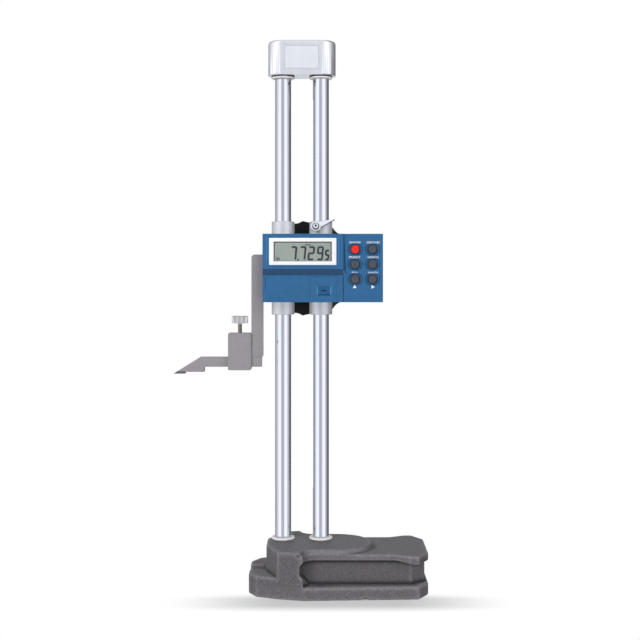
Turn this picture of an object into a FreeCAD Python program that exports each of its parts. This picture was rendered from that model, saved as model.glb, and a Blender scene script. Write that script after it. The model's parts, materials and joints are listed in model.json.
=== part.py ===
import FreeCAD, Part

import math
import os
import re

import Sketcher
from FreeCAD import Placement, Rotation, Vector


# Driving dimensions in millimetres: +X right, -Y front, +Z up from the base's underside.
# X is measured from midway between the columns and Y from the base's own axis.
SIZES = {
    # Fits
    "running_gap": 0.05,
    "seat_gap": 0.04,
    "slide_gap": 0.15,
    "part_gap": 0.3,
    "screw_play": 0.2,
    "overrun": 1.0,
    # Columns and their rings
    "column_diameter": 15.0,
    "column_spacing": 35.0,
    "column_setback": 10.0,
    "column_socket": 18.0,
    "column_chamfer": 0.8,
    "ring_diameter": 21.8,
    "ring_thickness": 2.4,
    "ring_round": 0.9,
    # Top cap
    "cap_length": 62.5,
    "cap_depth": 26.0,
    "cap_underside": 470.5,
    "cap_height": 32.0,
    "cap_round": 3.0,
    "cap_edge": 0.6,
    "cap_socket": 12.0,
    "set_screw_diameter": 5.0,
    "set_screw_rise": 6.0,
    "set_screw_inset": 0.4,
    "set_screw_hollow": 2.0,
    # Base casting, plan
    "nose_end": 47.5,
    "nose_half": 20.0,
    "nose_corner": 40.0,
    "nose_corner_inset": 12.5,
    "shoulder": 21.0,
    "shoulder_inset": 5.5,
    "block_face": 32.0,
    "block_face_half": 12.0,
    "widest_place": 1.5,
    "base_half": 45.0,
    "tail_place": 104.0,
    "tail_inset": 4.5,
    "base_end": 113.8,
    "base_end_half": 25.0,
    "grip_depth": 14.5,
    "grip_waist": 11.3,
    "waist_end": 82.0,
    "waist_tail": 96.0,
    "web_corner": 98.0,
    "web_end": 110.8,
    "web_end_inset": 4.0,
    # Base casting, heights
    "base_height": 42.0,
    "plateau_rise": 3.8,
    "ledge_height": 11.4,
    "lip_thickness": 5.4,
    "end_lip_thickness": 7.4,
    "end_lip_start": 84.0,
    "end_lip_full": 99.0,
    "grip_left": 1.5,
    "grip_foot": 6.8,
    "grip_bend": 11.0,
    "grip_round": 4.8,
    "notch_place": 56.4,
    "notch_radius": 2.2,
    "notch_length": 5.0,
    "nose_height": 19.0,
    "nose_slot_width": 16.7,
    "nose_slot_end": 33.3,
    # Raised plateau round the column feet
    "plateau_centre": 33.3,
    "plateau_flank": 3.8,
    "casting_round": 1.6,
    # Relief under the base
    "relief_depth": 2.0,
    "relief_start": 28.0,
    "relief_end": 96.0,
    "relief_half": 27.0,
    # Bolts that hold the columns
    "bolt_diameter": 8.0,
    "bolt_head_diameter": 13.0,
    "bolt_head_height": 8.0,
    "bolt_floor": 12.0,
    "bolt_reach": 20.0,
    "bolt_runout": 2.0,
    "bolt_head_play": 0.5,
    # Slider
    "boss_diameter": 21.2,
    "boss_drop": 43.0,
    "boss_edge": 0.6,
    "bush_diameter": 18.4,
    "bush_length": 12.0,
    "bush_inset": 0.6,
    "bridge_reach": 28.0,
    "bridge_back": 22.0,
    "plate_front": 9.5,
    "plate_left": 28.0,
    "plate_right": 34.0,
    "plate_back": 2.0,
    "hub_overlap": 2.0,
    "arm_pad_drop": 1.0,
    "arm_pad_back": 4.0,
    # Rack and gears
    "gear_module": 0.8,
    "gear_teeth": 15,
    "tooth_height": 0.64,
    "tooth_root": 0.8,
    "tooth_play": 0.14,
    "tooth_clear": 0.2,
    "tooth_seat": 0.3,
    "pressure_angle": 20.0,
    "rack_sink": 1.0,
    "gear_width": 4.0,
    "gear_spacing": 6,
    "rack_width": 4.5,
    "rack_depth": 3.6,
    "rack_foot": 88.0,
    "rack_head": 450.0,
    "wheel_height": 293.0,
    "cavity_reach": 1.3,
    "cavity_play": 0.6,
    "gear_cover_thickness": 3.0,
    "gear_cover_margin": 5.5,
    "cover_screw_diameter": 2.0,
    "cover_screw_head": 1.1,
    "cover_screw_seat": 1.3,
    "cover_screw_reach": 0.8,
    "cover_screw_margin": 0.8,
    # Drive shaft and hand wheel
    "shaft_diameter": 8.0,
    "shaft_inset": 0.5,
    "shaft_bush_diameter": 11.0,
    "shaft_bush_gap": 0.4,
    "shaft_bush_proud": 0.6,
    "bearing_hub_diameter": 20.0,
    "bearing_hub_back": 38.0,
    "wheel_gap": 1.4,
    "wheel_apothem": 43.0,
    "wheel_sides": 7,
    "wheel_thickness": 13.0,
    "wheel_edge": 1.2,
    "scallop_radius": 12.0,
    "scallop_depth": 3.6,
    "wheel_rim": 12.0,
    "wheel_dish": 5.0,
    "wheel_hub_diameter": 22.0,
    "wheel_screw_diameter": 5.0,
    "wheel_screw_flange": 1.5,
    "wheel_screw_edge": 0.8,
    "wheel_screw_height": 2.8,
    # Encoder
    "encoder_shaft_diameter": 3.0,
    "encoder_disc_diameter": 15.0,
    "encoder_disc_thickness": 0.6,
    "encoder_disc_gap": 0.4,
    "encoder_window": 1.0,
    "encoder_tip": 0.4,
    "encoder_reach": 4.5,
    "encoder_socket": 5.0,
    # Lock lever
    "lock_across": 12.8,
    "lock_rise": 38.0,
    "lock_margin": 5.0,
    "lock_eye_diameter": 9.2,
    "lock_thickness": 3.4,
    "lock_length": 18.5,
    "lock_root": 1.0,
    "lock_root_half": 3.3,
    "lock_nose": 2.0,
    "lock_nose_half": 0.9,
    "lock_tip_half": 0.4,
    "lock_bevel": 0.7,
    "lock_front_inset": 0.6,
    "lock_back_inset": 0.4,
    "lock_angle": 19.6,
    "lock_face": 4.2,
    "lock_screw_diameter": 4.0,
    "lock_head_diameter": 5.8,
    "lock_recess": 1.8,
    "lock_screw_reach": 1.6,
    "plug_clear": 1.3,
    # Display housing
    "housing_left": 34.5,
    "housing_right": 72.9,
    "housing_drop": 30.8,
    "housing_height": 61.1,
    "housing_face": 30.0,
    "display_rise": 2.0,
    "housing_back_thickness": 2.5,
    "housing_wall": 2.0,
    "housing_round": 0.6,
    "display_right": 37.5,
    "display_height": 31.4,
    "slope_right": 3.0,
    "slope_right_head": 0.4,
    "slope_low": 5.6,
    "bezel_left": 28.7,
    "bezel_right": 31.3,
    "bezel_drop": 3.7,
    "bezel_height": 24.2,
    "bezel_frame_side": 4.1,
    "bezel_frame_end": 3.3,
    "surround_side": 2.0,
    "surround_end": 1.3,
    "surround_rise": 0.3,
    "surround_chamfer": 0.25,
    "seam_width": 0.5,
    "seam_depth": 0.4,
    "slot_across": 31.9,
    "slot_low": 11.3,
    "slot_length": 10.7,
    "bezel_depth": 2.8,
    "glass_thickness": 0.9,
    "glass_inset": 0.4,
    "lcd_thickness": 1.2,
    "board_thickness": 1.6,
    "board_front": 22.6,
    "strip_inset": 0.2,
    "strip_width": 1.8,
    "mat_thickness": 1.2,
    "mat_margin": 2.0,
    "post_diameter": 5.6,
    "post_inset": 4.6,
    "housing_screw_diameter": 2.2,
    "housing_screw_head": 1.2,
    "housing_screw_seat": 1.4,
    "plate_screw_head": 4.2,
    "plate_screw_reach": 6.5,
    "plate_screw_inset": 4.0,
    # Buttons
    "button_left": 48.0,
    "button_pitch": 15.5,
    "button_margin": 13.9,
    "button_drop": 13.3,
    "button_diameter": 7.5,
    "button_play": 0.3,
    "button_proud": 1.4,
    "button_flange": 0.8,
    "button_flange_thickness": 0.7,
    "button_travel": 0.8,
    "button_hollow": 0.35,
    "button_hollow_edge": 0.15,
    "button_rim": 1.6,
    "button_round": 0.5,
    "dish_half_length": 6.4,
    "dish_half_height": 4.7,
    "dish_depth": 0.8,
    "dish_bevel": 0.5,
    # Battery and its cover
    "battery_diameter": 20.0,
    "battery_thickness": 3.2,
    "battery_cup_wall": 1.2,
    "battery_margin": 2.2,
    "battery_play": 0.1,
    "battery_step": 0.8,
    "battery_step_height": 0.5,
    "contact_half_width": 3.0,
    "contact_half_height": 2.0,
    "door_left": 7.8,
    "door_right": 31.6,
    "door_height": 23.0,
    "door_thickness": 1.6,
    "door_tongue": 0.8,
    "door_tongue_drop": 1.0,
    "door_grip_depth": 1.0,
    "door_grip_bevel": 0.9,
    "door_grip_rise": 7.0,
    "door_grip_height": 6.7,
    "door_grip_left": 7.1,
    "door_grip_width": 10.9,
    "door_dash_half_length": 2.2,
    "door_dash_half_height": 0.6,
    "door_dash_height": 0.5,
    # Scriber arm, clamp and scriber
    "arm_left": 46.0,
    "arm_right": 35.4,
    "arm_rise": 12.3,
    "arm_length": 93.8,
    "arm_thickness": 10.0,
    "arm_chamfer": 1.9,
    "heel_width": 0.6,
    "heel_height": 1.5,
    "jaw_thickness": 9.5,
    "jaw_end": 66.0,
    "relief_cut": 1.1,
    "relief_length": 12.0,
    "arm_screw_diameter": 4.0,
    "arm_screw_head": 7.0,
    "arm_screw_reach": 9.0,
    "arm_screw_drop": 9.3,
    "arm_screw_spacing": 23.0,
    "arm_screw_seat": 4.4,
    "clamp_length": 21.0,
    "clamp_depth": 14.2,
    "clamp_floor": 3.1,
    "clamp_window_rise": 5.0,
    "clamp_rise": 12.4,
    "clamp_round": 1.2,
    "pad_thickness": 2.0,
    "pad_length": 9.0,
    "clamp_screw_diameter": 4.0,
    "clamp_head_diameter": 15.0,
    "clamp_head_gap": 8.9,
    "clamp_head_height": 6.3,
    "clamp_head_edge": 0.6,
    "clamp_collar": 1.8,
    "clamp_collar_height": 0.6,
    "clamp_collar_taper": 0.8,
    "scriber_height": 8.8,
    "scriber_thickness": 9.0,
    "scriber_tail": 36.6,
    "scriber_vertex": 93.1,
    "foot_right": 89.3,
    "foot_left": 106.8,
    "foot_drop": 4.8,
    "tip_end": 117.3,
    "tip_drop": 1.57,
    "tip_thickness": 2.1,
    "braze_gap": 0.02,
}

# Places that follow from the sizes above
PLACES = {
    "shoulder_half": "base_half - shoulder_inset",
    "nose_corner_half": "base_half - nose_corner_inset",
    "tail_half": "base_half - tail_inset",
    "web_half": "base_half - grip_depth",
    "web_end_half": "base_end_half - web_end_inset",
    "waist_half": "base_half - grip_waist",
    "deck_height": "base_height - plateau_rise",
    "lip_low": "deck_height - lip_thickness",
    "end_lip_low": "deck_height - end_lip_thickness",
    "set_screw_height": "cap_underside + set_screw_rise",
    "lock_height": "wheel_height + lock_rise",
    "boss_low": "wheel_height - boss_drop",
    "boss_high": "lock_height + lock_margin",
    "bridge_low": "wheel_height - bridge_reach",
    "bridge_high": "wheel_height + bridge_reach",
    "housing_low": "wheel_height - housing_drop",
    "housing_high": "housing_low + housing_height",
    "display_low": "housing_high - display_height",
    "bezel_high": "housing_high - bezel_drop",
    "bezel_low": "bezel_high - bezel_height",
    "button_top": "housing_high - button_margin",
    "button_hole": "button_diameter / 2 + button_play",
    "door_high": "housing_low + door_height",
    "door_grip_low": "housing_low + door_grip_rise",
    "door_grip_high": "door_grip_low + door_grip_height",
    "door_grip_start": "door_left + door_grip_left",
    "door_grip_end": "door_grip_start + door_grip_width",
    "door_grip_floor": "door_grip_depth - housing_face",
    "arm_high": "wheel_height + arm_rise",
    "arm_screw_high": "arm_high - arm_screw_drop",
    "arm_screw_low": "arm_screw_high - arm_screw_spacing",
    "jaw_face": "arm_high - arm_length",
    "jaw_high": "jaw_face + jaw_thickness",
    "relief_high": "jaw_high + relief_length",
    "clamp_low": "jaw_face - scriber_height - clamp_floor",
    "clamp_high": "jaw_high + clamp_rise",
    "clamp_window_high": "jaw_high + clamp_window_rise",
    "clamp_head_low": "clamp_high + clamp_head_gap",
    "clamp_head_high": "clamp_head_low + clamp_head_height",
    "collar_low": "clamp_head_low - clamp_collar_height",
    "foot_low": "jaw_face - scriber_height - foot_drop",
    "tip_low": "foot_low - tip_drop",
}

DOC = FreeCAD.newDocument("height_gauge")
SHEET = DOC.addObject("Spreadsheet::Sheet", "Sizes")
PIECES = []

PLANES = {"top": "XY_Plane", "front": "XZ_Plane", "side": "YZ_Plane"}
TURNS = {
    "z": Rotation(),
    "y": Rotation(Vector(1, 0, 0), -90),
    "-y": Rotation(Vector(1, 0, 0), 90),
    "x": Rotation(Vector(0, 1, 0), 90),
}


def fill_sheet():
    """Writes each driving dimension and its name into the spreadsheet."""
    for row, (name, number) in enumerate(SIZES.items(), start=1):
        SHEET.set(f"A{row}", name.replace("_", " "))
        SHEET.set(f"B{row}", str(number))
        SHEET.setAlias(f"B{row}", name)
    DOC.recompute()


def bound(text):
    """Turns a sum of size and place names into an expression that reads the sheet."""
    def read(word):
        if word[0] in PLACES:
            return f"({bound(PLACES[word[0]])})"
        return "Sizes." + word[0] if word[0] in SIZES else word[0]

    return re.sub(r"[a-z_]+", read, text)


def value(text):
    """Gives the number that a sum of size names comes to."""
    number = SHEET.evalExpression(bound(text))
    return float(getattr(number, "Value", number))


def circle(across, up, radius):
    """A round loop of a sketch."""
    return {"centre": (across, up), "radius": radius}


def polygon(*points):
    """A closed loop of a sketch: a point is (x, y), or (x, y, cx, cy, way) where an arc leaves it."""
    return {"points": points}


def rectangle(left, right, low, high):
    """A loop with four square corners."""
    return polygon((left, low), (right, low), (right, high), (left, high))


def oval(across, up, half_length, half_height):
    """A loop with two straight sides and round ends."""
    left = f"{across} - ({half_length}) + {half_height}"
    right = f"{across} + ({half_length}) - {half_height}"
    low = f"{up} - {half_height}"
    high = f"{up} + {half_height}"
    return polygon(
        (left, low), (right, low, right, up, 1), (right, high), (left, high, left, up, 1))


def pin_point(sketch, geometry, end, across, up):
    """Ties one point of a sketch to its two expressions."""
    for kind, axis, text in (("DistanceX", -2, across), ("DistanceY", -1, up)):
        if text == "0":
            sketch.addConstraint(Sketcher.Constraint("PointOnObject", geometry, end, axis))
        else:
            index = sketch.addConstraint(Sketcher.Constraint(kind, -1, 1, geometry, end, value(text)))
            sketch.setExpression(f"Constraints[{index}]", bound(text))


def draw_circle(sketch, loop):
    """Draws a round loop whose centre and radius follow the sheet."""
    across, up = loop["centre"]
    centre = Vector(value(across), value(up), 0)
    geometry = sketch.addGeometry(Part.Circle(centre, Vector(0, 0, 1), value(loop["radius"])))
    pin_point(sketch, geometry, 3, across, up)
    index = sketch.addConstraint(Sketcher.Constraint("Radius", geometry, value(loop["radius"])))
    sketch.setExpression(f"Constraints[{index}]", bound(loop["radius"]))


def draw_polygon(sketch, loop):
    """Draws a closed loop of lines and arcs whose corners follow the sheet."""
    points = loop["points"]
    corners = [Vector(value(point[0]), value(point[1]), 0) for point in points]
    edges = []
    for index, point in enumerate(points):
        start = corners[index]
        end = corners[(index + 1) % len(points)]
        if len(point) == 2:
            edges.append((sketch.addGeometry(Part.LineSegment(start, end)), 1, 2))
            continue
        centre = Vector(value(point[2]), value(point[3]), 0)
        first, last = (start, end) if point[4] > 0 else (end, start)
        first_angle = math.atan2(first.y - centre.y, first.x - centre.x)
        last_angle = math.atan2(last.y - centre.y, last.x - centre.x)
        round_edge = Part.Circle(centre, Vector(0, 0, 1), (start - centre).Length)
        geometry = sketch.addGeometry(Part.ArcOfCircle(round_edge, first_angle, last_angle))
        edges.append((geometry, 1, 2) if point[4] > 0 else (geometry, 2, 1))
        lean = end - start
        if abs(lean.x) < abs(lean.y):
            kind, axis, text = "DistanceX", -2, point[2]
        else:
            kind, axis, text = "DistanceY", -1, point[3]
        if text == "0":
            sketch.addConstraint(Sketcher.Constraint("PointOnObject", geometry, 3, axis))
        else:
            number = sketch.addConstraint(Sketcher.Constraint(kind, -1, 1, geometry, 3, value(text)))
            sketch.setExpression(f"Constraints[{number}]", bound(text))
    for index, (geometry, start, _) in enumerate(edges):
        before, _, end = edges[index - 1]
        sketch.addConstraint(Sketcher.Constraint("Coincident", before, end, geometry, start))
        pin_point(sketch, geometry, start, points[index][0], points[index][1])


class Piece:
    """One separate piece of the gauge, with its own place and its own features."""

    def __init__(self, label, across="0", back="0", up="0", along="z"):
        self.label = label
        self.body = DOC.addObject("PartDesign::Body", label)
        self.body.Label = label
        self.body.Placement = Placement(Vector(), TURNS[along])
        for axis, text in zip("xyz", (across, back, up)):
            self.body.setExpression(f"Placement.Base.{axis}", bound(text))
        self.count = 0
        PIECES.append(self)

    def origin(self, role):
        """Finds one of the body's own planes or axes."""
        return [item for item in self.body.Origin.OriginFeatures if item.Role == role][0]

    def name(self, kind):
        """Gives the next feature its name."""
        self.count += 1
        return f"{self.label}_{kind}_{self.count}"

    def sketch(self, plane, level, loops):
        """Draws loops on a plane that stands at a level along its own normal."""
        sketch = self.body.newObject("Sketcher::SketchObject", self.name("sketch"))
        sketch.AttachmentSupport = [(self.origin(PLANES[plane]), "")]
        sketch.MapMode = "FlatFace"
        sketch.setExpression("AttachmentOffset.Base.z", bound(level))
        for loop in loops:
            if "radius" in loop:
                draw_circle(sketch, loop)
            else:
                draw_polygon(sketch, loop)
        return sketch

    def pad(self, plane, low, high, *loops):
        """Adds material between two levels of X, Y or Z."""
        level = f"-({high})" if plane == "front" else low
        feature = self.body.newObject("PartDesign::Pad", self.name("pad"))
        feature.Profile = self.sketch(plane, level, loops)
        feature.setExpression("Length", bound(f"{high} - ({low})"))
        return self.finish(feature)

    def cut(self, plane, low, high, *loops):
        """Takes material away between two levels of X, Y or Z."""
        level = f"-({low})" if plane == "front" else high
        before = self.body.Tip.Shape.Volume
        feature = self.body.newObject("PartDesign::Pocket", self.name("pocket"))
        feature.Profile = self.sketch(plane, level, loops)
        feature.setExpression("Length", bound(f"{high} - ({low})"))
        self.finish(feature)
        if feature.Shape.Volume > before - 1e-6:
            raise ValueError(f"{feature.Name} takes nothing away")
        return feature

    def revolve(self, *points):
        """Turns a profile of radius and height about the piece's own axis."""
        feature = self.body.newObject("PartDesign::Revolution", self.name("turned"))
        sketch = self.sketch("front", "0", [polygon(*points)])
        feature.Profile = sketch
        feature.ReferenceAxis = (sketch, ["V_Axis"])
        feature.Angle = 360
        return self.finish(feature)

    def loft(self, first, second):
        """Adds material that leads from one flat loop to another."""
        sketches = [self.sketch(plane, level, [loop]) for plane, level, loop in (first, second)]
        feature = self.body.newObject("PartDesign::AdditiveLoft", self.name("loft"))
        feature.Profile = sketches[0]
        feature.Sections = [sketches[1]]
        feature.Ruled = True
        return self.finish(feature)

    def repeat_along(self, feature, role, length, count):
        """Repeats a feature in a row along one of the body's axes."""
        pattern = self.body.newObject("PartDesign::LinearPattern", self.name("row"))
        pattern.Originals = [feature]
        pattern.Direction = (self.origin(role), [""])
        pattern.setExpression("Length", bound(length))
        pattern.setExpression("Occurrences", bound(count))
        return self.finish(pattern)

    def repeat_round(self, feature, count):
        """Repeats a feature round the body's own Z axis."""
        pattern = self.body.newObject("PartDesign::PolarPattern", self.name("ring"))
        pattern.Originals = [feature]
        pattern.Axis = (self.origin("Z_Axis"), [""])
        pattern.Angle = 360
        pattern.setExpression("Occurrences", bound(count))
        return self.finish(pattern)

    def dress(self, kind, size, chosen):
        """Rounds or chamfers the edges that a test of their middle and direction picks."""
        edges = []
        for index, edge in enumerate(self.body.Tip.Shape.Edges, start=1):
            middle = edge.valueAt((edge.FirstParameter + edge.LastParameter) / 2)
            way = edge.tangentAt((edge.FirstParameter + edge.LastParameter) / 2)
            if chosen(middle, way):
                edges.append(f"Edge{index}")
        if not edges:
            raise ValueError(f"{self.label} has no edge to {kind}")
        base = self.body.Tip
        feature = self.body.newObject(f"PartDesign::{kind}", self.name(kind.lower()))
        feature.Base = (base, edges)
        feature.setExpression("Radius" if kind == "Fillet" else "Size", bound(size))
        return self.finish(feature)

    def finish(self, feature):
        """Makes a feature the newest of its body and works it out."""
        self.body.Tip = feature
        DOC.recompute()
        if feature.Shape.isNull() or not feature.isValid():
            raise ValueError(f"{feature.Name} failed")
        return feature


def near(number, text):
    """Tells whether a coordinate lies at a size."""
    return abs(number - value(text)) < 0.01


def rod(label, radius, low, high, across="0", back="0", up="0", along="z"):
    """A plain round piece."""
    piece = Piece(label, across, back, up, along)
    piece.pad("top", low, high, circle("0", "0", radius))
    return piece


# Places that several pieces share
COLUMN_RADIUS = "column_diameter / 2"
COLUMN_FOOT = "base_height - column_socket"
COLUMN_HEAD = "cap_underside + cap_socket"
RIGHT = "column_spacing / 2"
LEFT = "-column_spacing / 2"
PITCH_RADIUS = "gear_module * gear_teeth / 2"
PITCH_LINE = "(column_spacing / 2 - column_diameter / 2 + rack_sink)"
GEAR_AXIS = f"({PITCH_LINE} - {PITCH_RADIUS})"
RACK_PITCH = "gear_module * pi"
ENCODER_HEIGHT = f"(wheel_height + gear_spacing * {RACK_PITCH})"
RACK_TIP = f"({PITCH_LINE} - tooth_height)"
RACK_LOW = f"(wheel_height - floor((wheel_height - rack_foot) / ({RACK_PITCH})) * {RACK_PITCH})"
RACK_TEETH = f"floor((rack_head - {RACK_LOW}) / ({RACK_PITCH}))"
RACK_HIGH = f"({RACK_LOW} + {RACK_TEETH} * {RACK_PITCH})"
CAVITY_LEFT = f"({GEAR_AXIS} - {PITCH_RADIUS} - tooth_height - cavity_reach)"
CAVITY_RIGHT = f"({PITCH_LINE} + tooth_height + cavity_reach)"
CAVITY_LOW = f"(wheel_height - {PITCH_RADIUS} - tooth_height - cavity_reach)"
CAVITY_HIGH = f"({ENCODER_HEIGHT} + {PITCH_RADIUS} + tooth_height + cavity_reach)"
CAVITY_BACK = "(column_setback + gear_width / 2 + cavity_play)"
COVER_BACK = "(gear_cover_thickness - plate_front)"
BACK_FACE = "-plate_front"
DISC_FRONT = "(-plate_front - encoder_disc_thickness - encoder_disc_gap)"
SHELL_BACK = "-plate_front - housing_back_thickness"
LID_FACE = "(door_thickness - housing_face)"
CUP_BACK = "(door_thickness - housing_face + battery_thickness + battery_cup_wall)"
BATTERY_ACROSS = "((door_left + door_right) / 2)"
BATTERY_UP = "(housing_low + battery_diameter / 2 + battery_margin)"
CLAMP_RIGHT = "(-arm_left - part_gap)"
CLAMP_LEFT = "(-arm_left - part_gap - clamp_length)"
CLAMP_MIDDLE = "(-arm_left - part_gap - clamp_length / 2)"
WHEEL_FRONT = "(bearing_hub_back + wheel_gap)"
WHEEL_BACK = "(bearing_hub_back + wheel_gap + wheel_thickness)"
SIDE_HALF = "(base_half - shoulder_inset * (widest_place + plateau_flank) / (widest_place + shoulder))"
LOCK_FRONT = "(-lock_face - lock_thickness)"
BUTTON_BACK = "(-housing_face + housing_wall + part_gap + button_flange_thickness)"


def make_columns():
    """The two columns, the right one slotted for its rack."""
    for label, across in (("column_left", LEFT), ("column_right", RIGHT)):
        column = Piece(label, across, "column_setback")
        column.pad("top", COLUMN_FOOT, COLUMN_HEAD, circle("0", "0", COLUMN_RADIUS))
        column.dress("Chamfer", "column_chamfer", lambda middle, way: near(middle.z, COLUMN_HEAD))
        column.cut("top", COLUMN_FOOT, f"{COLUMN_FOOT} + bolt_reach + bolt_runout",
                   circle("0", "0", "bolt_diameter / 2 + seat_gap"))
        if label == "column_right":
            column.cut("top", RACK_LOW, RACK_HIGH, rectangle(
                "-column_diameter", f"{RACK_TIP} + rack_depth - {RIGHT}",
                "-rack_width / 2", "rack_width / 2"))


def make_rack():
    """The rack let into the right column, with one tooth space cut and repeated."""
    rack = Piece("rack", "0", "column_setback")
    rack.pad("top", RACK_LOW, RACK_HIGH, rectangle(
        RACK_TIP, f"{RACK_TIP} + rack_depth", "-rack_width / 2 + seat_gap", "rack_width / 2 - seat_gap"))
    half_space = "(gear_module * pi / 4 + tooth_play / 4)"
    narrow = f"({half_space} - tooth_root * tan(pressure_angle))"
    wide = f"({half_space} + (tooth_height + tooth_clear) * tan(pressure_angle))"
    first = f"({RACK_LOW} + {RACK_PITCH})"
    space = rack.cut("front", "-rack_width", "rack_width", polygon(
        (f"{PITCH_LINE} - tooth_height - tooth_clear", f"{first} - {wide}"),
        (f"{PITCH_LINE} + tooth_root", f"{first} - {narrow}"),
        (f"{PITCH_LINE} + tooth_root", f"{first} + {narrow}"),
        (f"{PITCH_LINE} - tooth_height - tooth_clear", f"{first} + {wide}")))
    rack.repeat_along(space, "Z_Axis", f"({RACK_TEETH} - 2) * {RACK_PITCH}", f"{RACK_TEETH} - 1")


def make_rings():
    """The rounded rings at both ends of each column."""
    for side, across in (("left", LEFT), ("right", RIGHT)):
        for level, low in (("lower", "base_height"), ("upper", "cap_underside - ring_thickness")):
            ring = Piece(f"{level}_ring_{side}", across, "column_setback", low)
            ring.revolve(
                (f"{COLUMN_RADIUS} + seat_gap", "0"), ("ring_diameter / 2", "0"),
                ("ring_diameter / 2", "ring_thickness"), (f"{COLUMN_RADIUS} + seat_gap", "ring_thickness"))
            ring.dress("Chamfer", "ring_round",
                       lambda middle, way: near(math.hypot(middle.x, middle.y), "ring_diameter / 2"))


def plateau_loop(inset):
    """The outline of the plateau round the column feet, drawn in by an inset."""
    side = "(base_half - casting_round)"
    centre = "(widest_place + grip_waist - casting_round)"
    start = f"(widest_place - {inset})"
    radius = f"(waist_half - {inset})"
    return polygon(
        ("-shoulder / 2", "-shoulder_half + 2 * casting_round"),
        (start, f"-{side}", centre, f"-{side}", -1), (centre, f"-{radius}"),
        ("plateau_centre", f"-{radius}", "plateau_centre", "0", 1), ("plateau_centre", radius),
        (centre, radius, centre, side, -1), (start, side),
        ("-shoulder / 2", "shoulder_half - 2 * casting_round"))


def make_base():
    """The cast base: nose, tall block, deck with finger recesses, and the plateau."""
    base = Piece("base_casting")
    foot = [
        ("-nose_end", "-nose_half"), ("-nose_corner", "-nose_corner_half"), ("-shoulder", "-shoulder_half"),
        ("widest_place", "-base_half"), ("tail_place", "-tail_half"), ("base_end", "-base_end_half"),
        ("base_end", "base_end_half"), ("tail_place", "tail_half"), ("widest_place", "base_half"),
        ("-shoulder", "shoulder_half"), ("-nose_corner", "nose_corner_half"), ("-nose_end", "nose_half")]
    base.pad("top", "0", "ledge_height", polygon(*foot))
    base.pad("top", "ledge_height", "nose_height", polygon(
        ("-nose_end", "-nose_half"), ("-nose_corner", "-nose_corner_half"), ("-shoulder", "-shoulder_half"),
        ("-shoulder", "shoulder_half"), ("-nose_corner", "nose_corner_half"), ("-nose_end", "nose_half")))
    base.dress("Fillet", "casting_round", lambda middle, way: (
        near(middle.z, "nose_height") and middle.x < -value("shoulder") - 0.1))
    front_side = [
        ("-block_face", "-block_face_half"), ("-shoulder", "-shoulder_half"),
        ("widest_place", "-base_half", "widest_place + grip_waist", "-base_half", -1),
        ("widest_place + grip_waist", "-waist_half"), ("waist_end", "-waist_half"),
        ("waist_tail", "-tail_half"), ("tail_place", "-tail_half"), ("base_end", "-base_end_half")]
    back_side = [
        ("base_end", "base_end_half"), ("tail_place", "tail_half"), ("waist_tail", "tail_half"),
        ("waist_end", "waist_half"),
        ("widest_place + grip_waist", "waist_half", "widest_place + grip_waist", "base_half", -1),
        ("widest_place", "base_half"), ("-shoulder", "shoulder_half"), ("-block_face", "block_face_half")]
    base.pad("top", "ledge_height", "deck_height", polygon(*front_side, *back_side))
    base.pad("top", "deck_height", "base_height", polygon(
        ("-block_face", "-block_face_half"), ("-shoulder", "-shoulder_half"), ("-plateau_flank", f"-{SIDE_HALF}"),
        ("-plateau_flank", SIDE_HALF), ("-shoulder", "shoulder_half"), ("-block_face", "block_face_half")))
    base.dress("Fillet", "casting_round", lambda middle, way: (
        near(middle.z, "base_height") and middle.x < -value("plateau_flank") - 0.1))
    base.cut("front", "-base_half - overrun", "base_half + overrun", polygon(
        ("grip_foot", "ledge_height"), ("-grip_left", "ledge_height + grip_bend"),
        ("-grip_left", "lip_low - grip_round", "grip_round - grip_left", "lip_low - grip_round", -1),
        ("grip_round - grip_left", "lip_low"), ("end_lip_start", "lip_low"), ("end_lip_full", "end_lip_low"),
        ("base_end + overrun", "end_lip_low"), ("base_end + overrun", "ledge_height")))
    sweep = "(grip_depth - casting_round)"
    base.pad("top", "ledge_height", "lip_low", polygon(
        ("-shoulder", "-web_half"),
        ("-grip_left", "-base_half + casting_round", f"{sweep} - grip_left", "-base_half + casting_round", -1),
        (f"{sweep} - grip_left", "-web_half"), ("web_corner", "-web_half"), ("web_end", "-web_end_half"),
        ("web_end", "web_end_half"), ("web_corner", "web_half"),
        (f"{sweep} - grip_left", "web_half", f"{sweep} - grip_left", "base_half - casting_round", -1),
        ("-grip_left", "base_half - casting_round"), ("-shoulder", "web_half")))
    base.loft(("top", "deck_height", plateau_loop("0")), ("top", "base_height", plateau_loop("plateau_flank")))
    base.cut("top", "0", "nose_height + overrun", rectangle(
        "-nose_end - overrun", "-nose_slot_end", "-nose_slot_width / 2", "nose_slot_width / 2"))
    base.cut("top", "0", "relief_depth", rectangle(
        "relief_start", "relief_end", "-relief_half", "relief_half"))
    base.cut("front", "-base_half", "-base_half + notch_length", circle("notch_place", "0", "notch_radius"))
    base.cut("top", "0", "bolt_floor", *[
        circle(across, "column_setback", "bolt_head_diameter / 2 + bolt_head_play") for across in (LEFT, RIGHT)])
    base.cut("top", "bolt_floor", COLUMN_FOOT, *[
        circle(across, "column_setback", "bolt_diameter / 2 + part_gap") for across in (LEFT, RIGHT)])
    base.cut("top", COLUMN_FOOT, "base_height", *[
        circle(across, "column_setback", f"{COLUMN_RADIUS} + seat_gap") for across in (LEFT, RIGHT)])


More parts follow.
